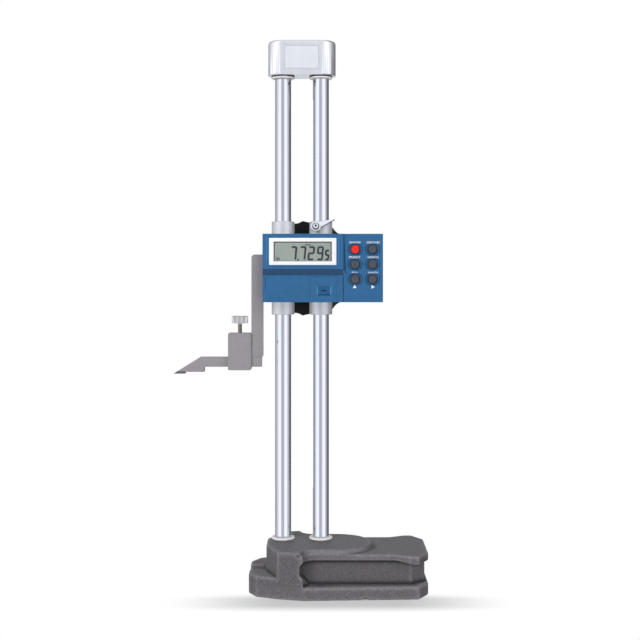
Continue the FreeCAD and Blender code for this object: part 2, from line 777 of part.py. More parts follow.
def make_screw_group(label, places, along, shank, reach, head, head_height):
    """Equal cap screws, each a turned solid whose head stands on its seat at height 0."""
    for index, (across, back, up) in enumerate(places, start=1):
        screw = Piece(f"{label}_{index}", across, back, up, along)
        screw.revolve(
            ("0", reach), ("0", f"-({head_height}) / 2"), (f"{head} / 4", f"-({head_height}) / 2"),
            (f"{head} / 4", f"-({head_height})"), (f"{head} / 2", f"-({head_height})"),
            (f"{head} / 2", "0"), (f"{shank} / 2", "0"), (f"{shank} / 2", reach))
        screw.group = label


def make_column_bolts():
    """The bolts that pull the columns into the base from below."""
    make_screw_group(
        "column_bolts", [(across, "column_setback", "bolt_floor") for across in (LEFT, RIGHT)], "z",
        "bolt_diameter", f"{COLUMN_FOOT} - bolt_floor + bolt_reach", "bolt_head_diameter", "bolt_head_height")


def make_cap():
    """The head piece with its two sockets, and the set screws behind."""
    cap = Piece("top_cap", "0", "column_setback")
    straight = "(cap_length / 2 - cap_depth / 2)"
    cap.pad("top", "cap_underside", "cap_underside + cap_height", polygon(
        (f"-{straight}", "-cap_depth / 2"), (straight, "-cap_depth / 2", straight, "0", 1),
        (straight, "cap_depth / 2"), (f"-{straight}", "cap_depth / 2", f"-{straight}", "0", 1)))
    cap.dress("Fillet", "cap_round", lambda middle, way: near(middle.z, "cap_underside + cap_height"))
    cap.dress("Chamfer", "cap_edge", lambda middle, way: near(middle.z, "cap_underside"))
    cap.cut("top", "cap_underside", COLUMN_HEAD, *[
        circle(across, "0", f"{COLUMN_RADIUS} + seat_gap") for across in (LEFT, RIGHT)])
    cap.cut("front", COLUMN_RADIUS, "cap_depth", *[
        circle(across, "set_screw_height", "set_screw_diameter / 2 + seat_gap") for across in (LEFT, RIGHT)])
    for index, across in enumerate((LEFT, RIGHT), start=1):
        screw = Piece(f"cap_set_screws_{index}", across, "column_setback", "set_screw_height", "y")
        length = f"{COLUMN_RADIUS} + seat_gap"
        screw.pad("top", length, "cap_depth / 2 - set_screw_inset", circle(
            "0", "0", "set_screw_diameter / 2"))
        screw.cut("top", "cap_depth / 2 - set_screw_inset - set_screw_hollow", "cap_depth / 2",
                  circle("0", "0", "set_screw_diameter / 4"))
        screw.group = "cap_set_screws"


def make_slider():
    """The slider casting: two bosses, the bridge with the gear cavity, and the arm's pad."""
    slider = Piece("slider_casting")
    centres = [(LEFT, "column_setback"), (RIGHT, "column_setback")]
    slider.pad("top", "boss_low", "boss_high", circle(*centres[0], "boss_diameter / 2"))
    slider.pad("top", "boss_low", "boss_high", circle(*centres[1], "boss_diameter / 2"))
    slider.dress("Chamfer", "boss_edge", lambda middle, way: (
        near(middle.z, "boss_low") or near(middle.z, "boss_high")))
    slider.pad("top", "bridge_low", "bridge_high", rectangle(LEFT, RIGHT, "-plate_back", "bridge_back"))
    slider.pad("top", "bridge_low", "bridge_high", rectangle(
        "-plate_left", "plate_right", BACK_FACE, "plate_back"))
    slider.pad("top", "bridge_low", "arm_high - arm_pad_drop", rectangle(
        "-arm_right", LEFT, "-arm_thickness / 2", "arm_thickness / 2 + arm_pad_back"))
    slider.pad("front", "bridge_back - hub_overlap", "bearing_hub_back",
               circle(GEAR_AXIS, "wheel_height", "bearing_hub_diameter / 2"))
    slider.pad("front", "-lock_face + part_gap / 2", "column_setback / 2",
               circle("lock_across", "lock_height", "lock_eye_diameter / 2"))
    slider.cut("top", "boss_low - overrun", "boss_high + overrun", *[
        circle(*centre, f"{COLUMN_RADIUS} + part_gap") for centre in centres])
    for low, high in (("boss_low", "boss_low + bush_length + bush_inset"),
                      ("boss_high - bush_length - bush_inset", "boss_high")):
        slider.cut("top", low, high, *[
            circle(*centre, "bush_diameter / 2 + seat_gap") for centre in centres])
    slider.cut("front", BACK_FACE, COVER_BACK, rectangle(
        f"{CAVITY_LEFT} - gear_cover_margin", f"{CAVITY_RIGHT} + gear_cover_margin",
        f"{CAVITY_LOW} - gear_cover_margin", f"{CAVITY_HIGH} + gear_cover_margin / 4"))
    slider.cut("front", COVER_BACK, CAVITY_BACK, rectangle(
        CAVITY_LEFT, CAVITY_RIGHT, CAVITY_LOW, CAVITY_HIGH))
    slider.cut("front", CAVITY_BACK, "bearing_hub_back",
               circle(GEAR_AXIS, "wheel_height", "shaft_bush_diameter / 2 + seat_gap"))
    slider.cut("front", CAVITY_BACK, f"{CAVITY_BACK} + encoder_socket",
               circle(GEAR_AXIS, ENCODER_HEIGHT, "encoder_shaft_diameter / 2 + running_gap"))
    slider.cut("front", "-lock_face", "column_setback",
               circle("lock_across", "lock_height", "lock_screw_diameter / 2 + running_gap"))
    slider.cut("side", "-arm_right", "-arm_right + arm_screw_reach + overrun", *[
        circle("0", up, "arm_screw_diameter / 2 + seat_gap") for up in ("arm_screw_high", "arm_screw_low")])


def make_bushes():
    """The four bushes that run on the columns, and the bush of the drive shaft."""
    for side, across in (("left", LEFT), ("right", RIGHT)):
        for level, low in (("lower", "boss_low + bush_inset"), ("upper", "boss_high - bush_inset - bush_length")):
            bush = Piece(f"{level}_bush_{side}", across, "column_setback", low)
            bush.pad("top", "0", "bush_length", circle("0", "0", "bush_diameter / 2"),
                     circle("0", "0", f"{COLUMN_RADIUS} + running_gap"))
            if (level, side) == ("upper", "right"):
                bush.cut("front", "-bush_diameter", "0", circle(
                    f"lock_across - {RIGHT}", "lock_height - (boss_high - bush_inset - bush_length)",
                    "lock_screw_diameter / 2 + running_gap"))
    bush = Piece("shaft_bush", GEAR_AXIS, "0", "wheel_height", "y")
    bush.pad("top", f"{CAVITY_BACK} + shaft_bush_gap", "bearing_hub_back + shaft_bush_proud",
             circle("0", "0", "shaft_bush_diameter / 2"),
             circle("0", "0", "shaft_diameter / 2 + running_gap"))


def make_gear_cover():
    """The plate that closes the gear cavity and carries the front ends of both shafts."""
    cover = Piece("gear_cover")
    left = f"({CAVITY_LEFT} - gear_cover_margin + seat_gap)"
    right = f"({CAVITY_RIGHT} + gear_cover_margin - seat_gap)"
    low = f"({CAVITY_LOW} - gear_cover_margin + seat_gap)"
    high = f"({CAVITY_HIGH} + gear_cover_margin / 4 - seat_gap)"
    cover.pad("front", BACK_FACE, COVER_BACK, rectangle(left, right, low, high))
    inset = "(cover_screw_diameter + cover_screw_margin)"
    corners = [(f"{left} + {inset}", f"{low} + {inset}"), (f"{right} - {inset}", f"{low} + {inset}"),
               (f"{left} + {inset}", f"{high} - {inset}"), (f"{right} - {inset}", f"{high} - {inset}")]
    cover.cut("front", BACK_FACE, COVER_BACK,
              circle(GEAR_AXIS, "wheel_height", "shaft_diameter / 2 + running_gap"),
              circle(GEAR_AXIS, ENCODER_HEIGHT, "encoder_shaft_diameter / 2 + running_gap"),
              *[circle(*corner, "cover_screw_diameter / 2 + seat_gap") for corner in corners])
    cover.cut("front", BACK_FACE, f"{BACK_FACE} + cover_screw_seat", *[
        circle(*corner, "cover_screw_diameter + screw_play") for corner in corners])
    return corners


def gear_blank(label, back, up):
    """A gear whose teeth are involute on both flanks, meshing with the rack to its right."""
    module = value("gear_module")
    teeth = value("gear_teeth")
    pitch_radius = module * teeth / 2
    pressure = math.radians(value("pressure_angle"))
    base_radius = pitch_radius * math.cos(pressure)
    root_radius = pitch_radius - value("tooth_root")
    tip_radius = pitch_radius + value("tooth_height")
    pitch_lean = math.tan(pressure) - pressure
    half_tooth = math.pi / 2 / teeth - value("tooth_play") / 4 / pitch_radius
    flank = []
    for step in range(4):
        radius = base_radius + (tip_radius - base_radius) * step / 3
        slope = math.acos(min(1.0, base_radius / radius))
        flank.append((radius, half_tooth + pitch_lean - (math.tan(slope) - slope)))
    gear = Piece(label, GEAR_AXIS, back, up, "y")
    gear.pad("top", "0", "gear_width", circle("0", "0", f"{PITCH_RADIUS} - tooth_root"))
    inner = (root_radius - value("tooth_seat"), flank[0][1])
    corners = [inner] + flank + [(radius, -angle) for radius, angle in reversed([inner] + flank)]
    points = [(f"{radius * math.cos(angle):.5f}", f"{radius * math.sin(angle):.5f}")
              for radius, angle in reversed(corners)]
    tooth = gear.pad("top", "0", "gear_width", polygon(*points))
    gear.repeat_round(tooth, "gear_teeth")
    return gear


def make_gears():
    """The drive pinion and the encoder's gear, with their shafts."""
    front = "column_setback - gear_width / 2"
    pinion = gear_blank("drive_pinion", front, "wheel_height")
    pinion.cut("top", "0", "gear_width", circle("0", "0", "shaft_diameter / 2 + seat_gap"))
    rod("wheel_shaft", "shaft_diameter / 2", "-plate_front + shaft_inset", f"{WHEEL_BACK} - shaft_inset",
        across=GEAR_AXIS, up="wheel_height", along="y")
    encoder = gear_blank("encoder_gear", front, ENCODER_HEIGHT)
    encoder.cut("top", "0", "gear_width", circle("0", "0", "encoder_shaft_diameter / 2 + seat_gap"))
    rod("encoder_shaft", "encoder_shaft_diameter / 2", f"{DISC_FRONT} - encoder_tip",
        f"{CAVITY_BACK} + encoder_reach", across=GEAR_AXIS, up=ENCODER_HEIGHT, along="y")
    disc = Piece("encoder_disc", GEAR_AXIS, DISC_FRONT, ENCODER_HEIGHT, "y")
    disc.pad("top", "0", "encoder_disc_thickness", circle("0", "0", "encoder_disc_diameter / 2"),
             circle("0", "0", "encoder_shaft_diameter / 2 + seat_gap"))


def make_hand_wheel():
    """The many-sided hand wheel, with scallops at its corners, and its screw."""
    wheel = Piece("hand_wheel", GEAR_AXIS, WHEEL_FRONT, "wheel_height", "-y")
    sides = int(value("wheel_sides"))
    corners = [(f"wheel_apothem / cos(180 / wheel_sides) * cos({step} * 360 / wheel_sides)",
                f"wheel_apothem / cos(180 / wheel_sides) * sin({step} * 360 / wheel_sides)")
               for step in range(sides)]
    wheel.pad("top", "-wheel_thickness", "0", polygon(*corners))
    reach = "(wheel_apothem / cos(180 / wheel_sides) + scallop_radius - scallop_depth)"
    scallop = wheel.cut("top", "-wheel_thickness - overrun", "overrun", circle(reach, "0", "scallop_radius"))
    wheel.repeat_round(scallop, "wheel_sides")
    wheel.dress("Chamfer", "wheel_edge", lambda middle, way: (
        near(middle.z, "0") or near(middle.z, "-wheel_thickness")))
    wheel.cut("top", "-wheel_thickness", "-wheel_thickness + wheel_dish",
              circle("0", "0", "wheel_apothem - wheel_rim"), circle("0", "0", "wheel_hub_diameter / 2"))
    wheel.cut("top", "-wheel_dish", "0",
              circle("0", "0", "wheel_apothem - wheel_rim"), circle("0", "0", "wheel_hub_diameter / 2"))
    wheel.cut("top", "-wheel_thickness", "0", circle("0", "0", "shaft_diameter / 2 + seat_gap"))
    screw = Piece("wheel_screw", GEAR_AXIS, WHEEL_BACK, "wheel_height", "y")
    rim = "wheel_screw_diameter + wheel_screw_flange"
    screw.revolve(("0", "0"), (rim, "0"), (rim, "wheel_screw_edge"),
                  ("wheel_screw_diameter", "wheel_screw_height"), ("0", "wheel_screw_height"))


def make_lock():
    """The lever that locks the slider, its screw and the plug that bears on the column."""
    lever = Piece("lock_lever", "lock_across", "0", "lock_height")
    lever.pad("front", LOCK_FRONT, "-lock_face", circle("0", "0", "lock_eye_diameter / 2"))
    along, across = "cos(lock_angle)", "sin(lock_angle)"

    def blade_point(distance, offset):
        return (f"({distance}) * {along} - ({offset}) * {across}", f"({distance}) * {across} + ({offset}) * {along}")

    nose = "lock_length - lock_nose"
    lever.pad("front", f"{LOCK_FRONT} + lock_front_inset", "-lock_face - lock_back_inset", polygon(
        blade_point("lock_root", "-lock_root_half"), blade_point(nose, "-lock_nose_half"),
        blade_point("lock_length", "-lock_tip_half"), blade_point("lock_length", "lock_tip_half"),
        blade_point(nose, "lock_nose_half"), blade_point("lock_root", "lock_root_half")))
    lean = math.radians(value("lock_angle"))
    lever.dress("Chamfer", "lock_bevel", lambda middle, way: (
        near(middle.y, f"{LOCK_FRONT} + lock_front_inset") and abs(way.z) > 0.2
        and middle.x > value("lock_eye_diameter / 2")
        and middle.z * math.cos(lean) < middle.x * math.sin(lean) - value("lock_tip_half")))
    lever.cut("front", LOCK_FRONT, "-lock_face", circle("0", "0", "lock_screw_diameter / 2 + seat_gap"))
    lever.cut("front", LOCK_FRONT, f"{LOCK_FRONT} + lock_recess", circle(
        "0", "0", "lock_head_diameter / 2 + screw_play"))
    screw = Piece("lock_screw", "lock_across", f"{LOCK_FRONT} + lock_recess", "lock_height", "y")
    screw.revolve(
        ("0", "-lock_recess / 2"), ("lock_head_diameter / 4", "-lock_recess / 2"),
        ("lock_head_diameter / 4", "-lock_recess"), ("lock_head_diameter / 2", "-lock_recess"),
        ("lock_head_diameter / 2", "0"), ("lock_screw_diameter / 2", "0"),
        ("lock_screw_diameter / 2", "lock_face + lock_screw_reach"), ("0", "lock_face + lock_screw_reach"))
    plug_tip = f"(column_setback - sqrt(({COLUMN_RADIUS}) ^ 2 - ({RIGHT} - lock_across) ^ 2) - plug_clear)"
    plug_foot = f"{LOCK_FRONT} + lock_recess + lock_face + lock_screw_reach + part_gap"
    rod("lock_plug", "lock_screw_diameter / 2", plug_foot, plug_tip,
        across="lock_across", up="lock_height", along="y")


def post_places():
    """The four screw posts of the housing, as places across and up."""
    left, right = "(-housing_left + post_inset)", "(housing_right - post_inset)"
    low, high = "(housing_low + post_inset)", "(housing_high - post_inset)"
    return [(left, low), (right, low), (left, high), (right, high)]


def button_places():
    """The six buttons, row by row from the top, as places across and up."""
    return [(f"(button_left + {column} * button_pitch)", f"(button_top - {row} * button_drop)")
            for row in range(3) for column in range(2)]


def make_front_cover():
    """The moulded front of the housing: raised display, sloped borders, keypad and battery bay."""
    cover = Piece("front_cover")
    edges = ("-housing_left", "housing_right", "housing_low", "housing_high")
    inner = ("-housing_left + housing_wall", "housing_right - housing_wall",
             "housing_low + housing_wall", "housing_high - housing_wall")
    cover.pad("front", "-housing_face", SHELL_BACK, rectangle(*edges))
    cover.loft(
        ("front", "housing_face", polygon(
            ("-housing_left", "display_low - slope_low"),
            ("display_right + slope_right", "display_low - slope_low"),
            ("display_right + slope_right_head", "housing_high"), ("-housing_left", "housing_high"))),
        ("front", "housing_face + display_rise", rectangle(
            "-housing_left", "display_right", "display_low", "housing_high")))
    cover.dress("Fillet", "housing_round", lambda middle, way: (
        abs(way.y) > 0.9 and (near(middle.x, "-housing_left") or near(middle.x, "housing_right"))
        and (near(middle.z, "housing_low") or near(middle.z, "housing_high"))))
    cover.pad("front", "-housing_face - display_rise - surround_rise", "-housing_face - display_rise", rectangle(
        "-bezel_left - surround_side", "bezel_right + surround_side",
        "bezel_low - surround_end", "bezel_high + surround_end"))
    cover.dress("Chamfer", "surround_chamfer", lambda middle, way: (
        near(middle.y, "-housing_face - display_rise - surround_rise")))
    cover.cut("front", "-housing_face", "-housing_face + seam_depth",
              rectangle("display_right - seam_width / 2", "display_right + seam_width / 2",
                        "housing_low", "display_low - slope_low"),
              rectangle("-slot_across - seam_width / 2", "-slot_across + seam_width / 2",
                        "housing_low + slot_low", "housing_low + slot_low + slot_length"))
    cover.cut("front", "-housing_face + housing_wall", SHELL_BACK, rectangle(*inner))
    cover.pad("front", "-housing_face + housing_wall / 2", "-board_front", *[
        circle(*place, "post_diameter / 2") for place in post_places()])
    cover.cut("front", "-housing_face + housing_wall", "-board_front", *[
        circle(*place, "housing_screw_diameter / 2 + seat_gap") for place in post_places()])
    cover.cut("front", "-housing_face - display_rise - surround_rise", "-housing_face + housing_wall", rectangle(
        "-bezel_left", "bezel_right", "bezel_low", "bezel_high"))
    for across, up in button_places():
        cover.cut("front", "-housing_face", "-housing_face + dish_depth",
                  oval(across, up, "dish_half_length", "dish_half_height"))
    keypad_left = value("button_left - dish_half_length - seat_gap")
    keypad_low = value("button_top - 2 * button_drop - dish_half_height - seat_gap")
    cover.dress("Chamfer", "dish_bevel", lambda middle, way: (
        near(middle.y, "-housing_face") and keypad_left < middle.x < value("housing_right - dish_depth")
        and keypad_low < middle.z < value("housing_high - dish_depth")))
    cover.cut("front", "-housing_face", "-housing_face + housing_wall", *[
        circle(*place, "button_hole") for place in button_places()])
    cover.pad("front", "-housing_face + housing_wall / 2", CUP_BACK,
              circle(BATTERY_ACROSS, BATTERY_UP, "battery_diameter / 2 + battery_cup_wall"))
    cover.cut("front", "-housing_face", LID_FACE, rectangle(
        "door_left - slide_gap", "door_right + slide_gap", "housing_low - overrun", "door_high + slide_gap"))
    cover.cut("front", f"{LID_FACE} - door_tongue - slide_gap", LID_FACE, rectangle(
        "door_left - door_tongue - slide_gap", "door_right + door_tongue + slide_gap",
        "housing_low - overrun", "door_high - door_tongue_drop"))
    cover.cut("front", LID_FACE, f"{CUP_BACK} - battery_cup_wall",
              circle(BATTERY_ACROSS, BATTERY_UP, "battery_diameter / 2 + part_gap"))


def make_housing_back():
    """The back plate of the housing, with a window for the encoder, and all its screws."""
    plate = Piece("housing_back")
    plate.pad("front", SHELL_BACK, BACK_FACE, rectangle(
        "-housing_left", "housing_right", "housing_low", "housing_high"))
    plate.dress("Fillet", "housing_round", lambda middle, way: abs(way.y) > 0.9)
    plate.cut("front", SHELL_BACK, BACK_FACE,
              circle(GEAR_AXIS, ENCODER_HEIGHT, "encoder_disc_diameter / 2 + encoder_window"),
              *[circle(*place, "housing_screw_diameter / 2 + screw_play") for place in post_places()])
    plate.cut("front", f"{BACK_FACE} - housing_screw_seat", BACK_FACE, *[
        circle(*place, "housing_screw_diameter + part_gap") for place in post_places()])
    fixings = [(across, up) for across in ("-plate_left + plate_screw_inset", "plate_right - plate_screw_inset")
               for up in ("bridge_low + plate_screw_inset", "bridge_high - plate_screw_inset")]
    plate.cut("front", SHELL_BACK, BACK_FACE, *[
        circle(*place, "housing_screw_diameter / 2 + screw_play") for place in fixings])
    make_screw_group(
        "housing_screws", [(across, f"{BACK_FACE} - housing_screw_seat", up) for across, up in post_places()],
        "-y", "housing_screw_diameter", "board_front - plate_front + housing_wall",
        "housing_screw_diameter * 2", "housing_screw_head")
    return fixings


def make_plate_screws(fixings, corners):
    """The screws that hold the housing and the gear cover to the slider."""
    slider = PIECES[[piece.label for piece in PIECES].index("slider_casting")]
    slider.cut("front", BACK_FACE, f"{BACK_FACE} + plate_screw_reach + part_gap", *[
        circle(*place, "housing_screw_diameter / 2 + seat_gap") for place in fixings])
    slider.cut("front", COVER_BACK, f"{COVER_BACK} + cover_screw_reach + part_gap", *[
        circle(*corner, "cover_screw_diameter / 2 + seat_gap") for corner in corners])
    make_screw_group(
        "plate_screws", [(across, SHELL_BACK, up) for across, up in fixings], "y",
        "housing_screw_diameter", "housing_back_thickness + plate_screw_reach", "plate_screw_head",
        "housing_screw_head")
    make_screw_group(
        "gear_cover_screws", [(across, f"{BACK_FACE} + cover_screw_seat", up) for across, up in corners], "y",
        "cover_screw_diameter", "gear_cover_thickness - cover_screw_seat + cover_screw_reach",
        "cover_screw_diameter * 2", "cover_screw_head")


def make_display():
    """The white bezel, its glass, the display panel and its two contact strips."""
    bezel = Piece("lcd_bezel")
    front = "(-housing_face - display_rise - surround_rise - seat_gap)"
    outer = ("-bezel_left + seat_gap", "bezel_right - seat_gap", "bezel_low + seat_gap", "bezel_high - seat_gap")
    inner = ("(-bezel_left + bezel_frame_side)", "(bezel_right - bezel_frame_side)",
             "(bezel_low + bezel_frame_end)", "(bezel_high - bezel_frame_end)")
    bezel.pad("front", front, f"{front} + bezel_depth", rectangle(*outer), rectangle(*inner))
    loose = (f"{inner[0]} + seat_gap", f"{inner[1]} - seat_gap", f"{inner[2]} + seat_gap", f"{inner[3]} - seat_gap")
    glass_back = f"({front} + glass_inset + glass_thickness)"
    glass = Piece("lcd_window")
    glass.pad("front", f"{front} + glass_inset", glass_back, rectangle(*loose))
    panel = Piece("lcd_panel")
    panel.pad("front", glass_back, f"{glass_back} + lcd_thickness", rectangle(*loose))
    strips = Piece("contact_strip_lower")
    strips.pad("front", f"{glass_back} + lcd_thickness", "-board_front", rectangle(
        inner[0], inner[1], f"{inner[2]} + strip_inset", f"{inner[2]} + strip_inset + strip_width"))
    strips = Piece("contact_strip_upper")
    strips.pad("front", f"{glass_back} + lcd_thickness", "-board_front", rectangle(
        inner[0], inner[1], f"{inner[3]} - strip_inset - strip_width", f"{inner[3]} - strip_inset"))


def make_board():
    """The circuit board, the rubber keypad mat, the battery and its contact."""
    board = Piece("circuit_board")
    board.pad("front", "-board_front", "-board_front + board_thickness", rectangle(
        "-housing_left + housing_wall + part_gap", "housing_right - housing_wall - part_gap",
        "housing_low + housing_wall + part_gap", "housing_high - housing_wall - part_gap"))
    board.cut("front", "-board_front", "-board_front + board_thickness", *[
        circle(*place, "housing_screw_diameter / 2 + screw_play") for place in post_places()])
    mat = Piece("keypad_mat")
    edge = "(button_diameter / 2 + mat_margin)"
    mat.pad("front", "-board_front - mat_thickness", "-board_front", rectangle(
        f"button_left - {edge}", f"button_left + button_pitch + {edge}",
        f"button_top - 2 * button_drop - {edge}", f"button_top + {edge}"))
    mat.pad("front", f"{BUTTON_BACK} + button_travel + part_gap", "-board_front - mat_thickness", *[
        circle(*place, "button_diameter / 4") for place in button_places()])
    battery = Piece("battery", BATTERY_ACROSS, f"{LID_FACE} + battery_play", BATTERY_UP, "y")
    step = "battery_diameter / 2 - battery_step"
    battery.revolve(
        ("0", "0"), (step, "0"), (step, "battery_step_height"), ("battery_diameter / 2", "battery_step_height"),
        ("battery_diameter / 2", "battery_thickness - battery_play"), ("0", "battery_thickness - battery_play"))
    contact = Piece("battery_contact")
    contact.pad("front", CUP_BACK, "-board_front", rectangle(
        f"{BATTERY_ACROSS} - contact_half_width", f"{BATTERY_ACROSS} + contact_half_width",
        f"{BATTERY_UP} - contact_half_height", f"{BATTERY_UP} + contact_half_height"))


def make_buttons():
    """Six round buttons, each with a flange behind the cover."""
    names = ("power", "zero", "preset", "data", "sign", "unit")
    for name, (across, up) in zip(names, button_places()):
        button = Piece(f"{name}_button", across, "-housing_face - button_proud", up, "y")
        behind = "(button_proud + housing_wall + part_gap)"
        button.revolve(
            ("0", "button_hollow"), ("button_diameter / 2 - button_rim", "button_hollow_edge"),
            ("button_diameter / 2 - button_round", "0"), ("button_diameter / 2", "button_round"),
            ("button_diameter / 2", behind),
            ("button_diameter / 2 + button_flange", behind),
            ("button_diameter / 2 + button_flange", f"{behind} + button_flange_thickness"),
            ("0", f"{behind} + button_flange_thickness"))


def make_battery_door():
    """The sliding battery cover with its tongues and thumb grip."""
    door = Piece("battery_cover")
    door.pad("front", "-housing_face", f"{LID_FACE} - slide_gap", rectangle(
        "door_left", "door_right", "housing_low", "door_high"))
    door.pad("front", f"{LID_FACE} - door_tongue", f"{LID_FACE} - slide_gap", rectangle(
        "door_left - door_tongue", "door_right + door_tongue",
        "housing_low", "door_high - door_tongue_drop - slide_gap"))
    door.cut("front", "-housing_face", "door_grip_floor", rectangle(
        "door_grip_start", "door_grip_end", "door_grip_low", "door_grip_high"))
    door.dress("Chamfer", "door_grip_bevel", lambda middle, way: (
        near(middle.y, "-housing_face") and value("door_left") < middle.x < value("door_right")
        and value("housing_low") < middle.z < value("door_high")
        and abs(middle.z - value("door_high")) > 0.1 and abs(middle.z - value("housing_low")) > 0.1
        and abs(middle.x - value("door_left")) > 0.1 and abs(middle.x - value("door_right")) > 0.1))
    middle = "(door_grip_start + door_grip_end) / 2"
    level = "(door_grip_low + door_grip_high) / 2"
    door.pad("front", "door_grip_floor - door_dash_height", "door_grip_floor", rectangle(
        f"{middle} - door_dash_half_length", f"{middle} + door_dash_half_length",
        f"{level} - door_dash_half_height", f"{level} + door_dash_half_height"))


def make_arm():
    """The arm that hangs from the slider, its jaw for the scriber, and its screws."""
    arm = Piece("scriber_arm")
    half = "arm_thickness / 2"
    arm.pad("front", f"-{half}", half, polygon(
        ("-jaw_end", "jaw_face"), ("-arm_right - heel_width", "jaw_face"), ("-arm_right", "jaw_face + heel_height"),
        ("-arm_right", "arm_high"), ("-arm_left + arm_chamfer", "arm_high"),
        ("-arm_left", "arm_high - arm_chamfer"), ("-arm_left", "relief_high"),
        ("-arm_left + relief_cut", "relief_high"), ("-arm_left + relief_cut", "jaw_high"),
        ("-jaw_end", "jaw_high")))
    screws = ("arm_screw_high", "arm_screw_low")
    arm.cut("side", "-arm_left", "-arm_right", *[
        circle("0", up, "arm_screw_diameter / 2 + screw_play") for up in screws])
    arm.cut("side", "-arm_left", "-arm_left + arm_screw_seat", *[
        circle("0", up, "arm_screw_head / 2 + part_gap") for up in screws])
    make_screw_group(
        "arm_screws", [("-arm_left + arm_screw_seat", "0", up) for up in screws], "x", "arm_screw_diameter",
        "arm_left - arm_right - arm_screw_seat + arm_screw_reach", "arm_screw_head", "arm_screw_diameter")


def make_clamp():
    """The clamp box round jaw and scriber, its pad and its thumb screw."""
    clamp = Piece("scriber_clamp")
    half = "clamp_depth / 2"
    clamp.pad("front", f"-{half}", half, rectangle(CLAMP_LEFT, CLAMP_RIGHT, "clamp_low", "clamp_high"))
    clamp.dress("Fillet", "clamp_round", lambda middle, way: abs(way.y) > 0.9)
    clamp.cut("side", f"{CLAMP_LEFT} - overrun", f"{CLAMP_RIGHT} + overrun", rectangle(
        "-arm_thickness / 2 - slide_gap", "arm_thickness / 2 + slide_gap",
        "jaw_face - slide_gap - scriber_height - slide_gap", "clamp_window_high"))
    clamp.cut("top", "clamp_window_high - overrun", "clamp_high + overrun",
              circle(CLAMP_MIDDLE, "0", "clamp_screw_diameter / 2 + running_gap"))
    pad = Piece("clamp_pad", CLAMP_MIDDLE)
    pad.pad("top", "jaw_high + slide_gap", "jaw_high + slide_gap + pad_thickness", rectangle(
        "-pad_length / 2", "pad_length / 2", "-arm_thickness / 2 + part_gap", "arm_thickness / 2 - part_gap"))
    screw = Piece("clamp_screw", CLAMP_MIDDLE)
    radius = "clamp_head_diameter / 2"
    stem = "clamp_screw_diameter / 2"
    screw.revolve(
        ("0", "jaw_high + slide_gap + pad_thickness"), (stem, "jaw_high + slide_gap + pad_thickness"),
        (stem, "collar_low - clamp_collar_taper"), (f"{stem} + clamp_collar", "collar_low"),
        (f"{stem} + clamp_collar", "clamp_head_low"), (f"{radius} - clamp_head_edge", "clamp_head_low"),
        (radius, "clamp_head_low + clamp_head_edge"), (radius, "clamp_head_high - clamp_head_edge"),
        (f"{radius} - clamp_head_edge", "clamp_head_high"), ("0", "clamp_head_high"))


def make_scriber():
    """The scriber bar with its foot, and the carbide tip let in below its point."""
    bar_high = "(jaw_face - slide_gap)"
    bar_low = "(jaw_face - slide_gap - scriber_height)"
    slope = f"(scriber_vertex - tip_end) / ({bar_high} - tip_low)"
    seat = "(tip_low + tip_thickness)"
    seat_end = f"(-tip_end - ({slope}) * tip_thickness)"
    half = "scriber_thickness / 2"
    bar = Piece("scriber")
    bar.pad("front", f"-{half}", half, polygon(
        ("-scriber_tail", bar_low), ("-scriber_tail", bar_high), ("-scriber_vertex", bar_high),
        (seat_end, seat), ("-foot_left", seat), ("-foot_left", "foot_low"), ("-foot_right", "foot_low"),
        ("-foot_right", bar_low)))
    tip = Piece("carbide_tip")
    tip.pad("front", f"-{half}", half, polygon(
        ("-tip_end", "tip_low"), ("-foot_left - braze_gap", "tip_low"),
        ("-foot_left - braze_gap", f"{seat} - braze_gap"), (seat_end, f"{seat} - braze_gap")))


def check_document():
    """Stops if any object of the document failed."""
    DOC.recompute()
    for item in DOC.Objects:
        if "Invalid" in item.State or "Error" in item.State:
            raise ValueError(f"{item.Label} is in state {item.State}")


def write_parts():
    """Writes one file per node; equal fasteners share a node as separate solids."""
    os.makedirs("parts", exist_ok=True)
    nodes = {}
    for piece in PIECES:
        nodes.setdefault(getattr(piece, "group", piece.label), []).append(piece.body.Shape)
    for label, shapes in nodes.items():
        shape = shapes[0] if len(shapes) == 1 else Part.makeCompound(shapes)
        if shape.isNull() or not shape.isValid() or len(shape.Solids) != len(shapes):
            raise ValueError(f"{label} isn't a valid set of solids")
        shape.exportStep(f"parts/{label}.step")
    print(len(nodes), "nodes")


fill_sheet()
make_base()
make_columns()
make_rack()
make_rings()
make_column_bolts()
make_cap()
make_slider()
make_bushes()
gear_cover_corners = make_gear_cover()
make_gears()
make_hand_wheel()
make_lock()
make_front_cover()
housing_fixings = make_housing_back()
make_plate_screws(housing_fixings, gear_cover_corners)
make_display()
make_board()
make_buttons()
make_battery_door()
make_arm()
make_clamp()
make_scriber()
check_document()
write_parts()
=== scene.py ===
"""Looks of a digital height gauge with two columns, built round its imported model."""

import json
import logging
import math
from collections.abc import Callable, Iterator
from contextlib import contextmanager
from dataclasses import dataclass
from enum import Enum
from functools import cache

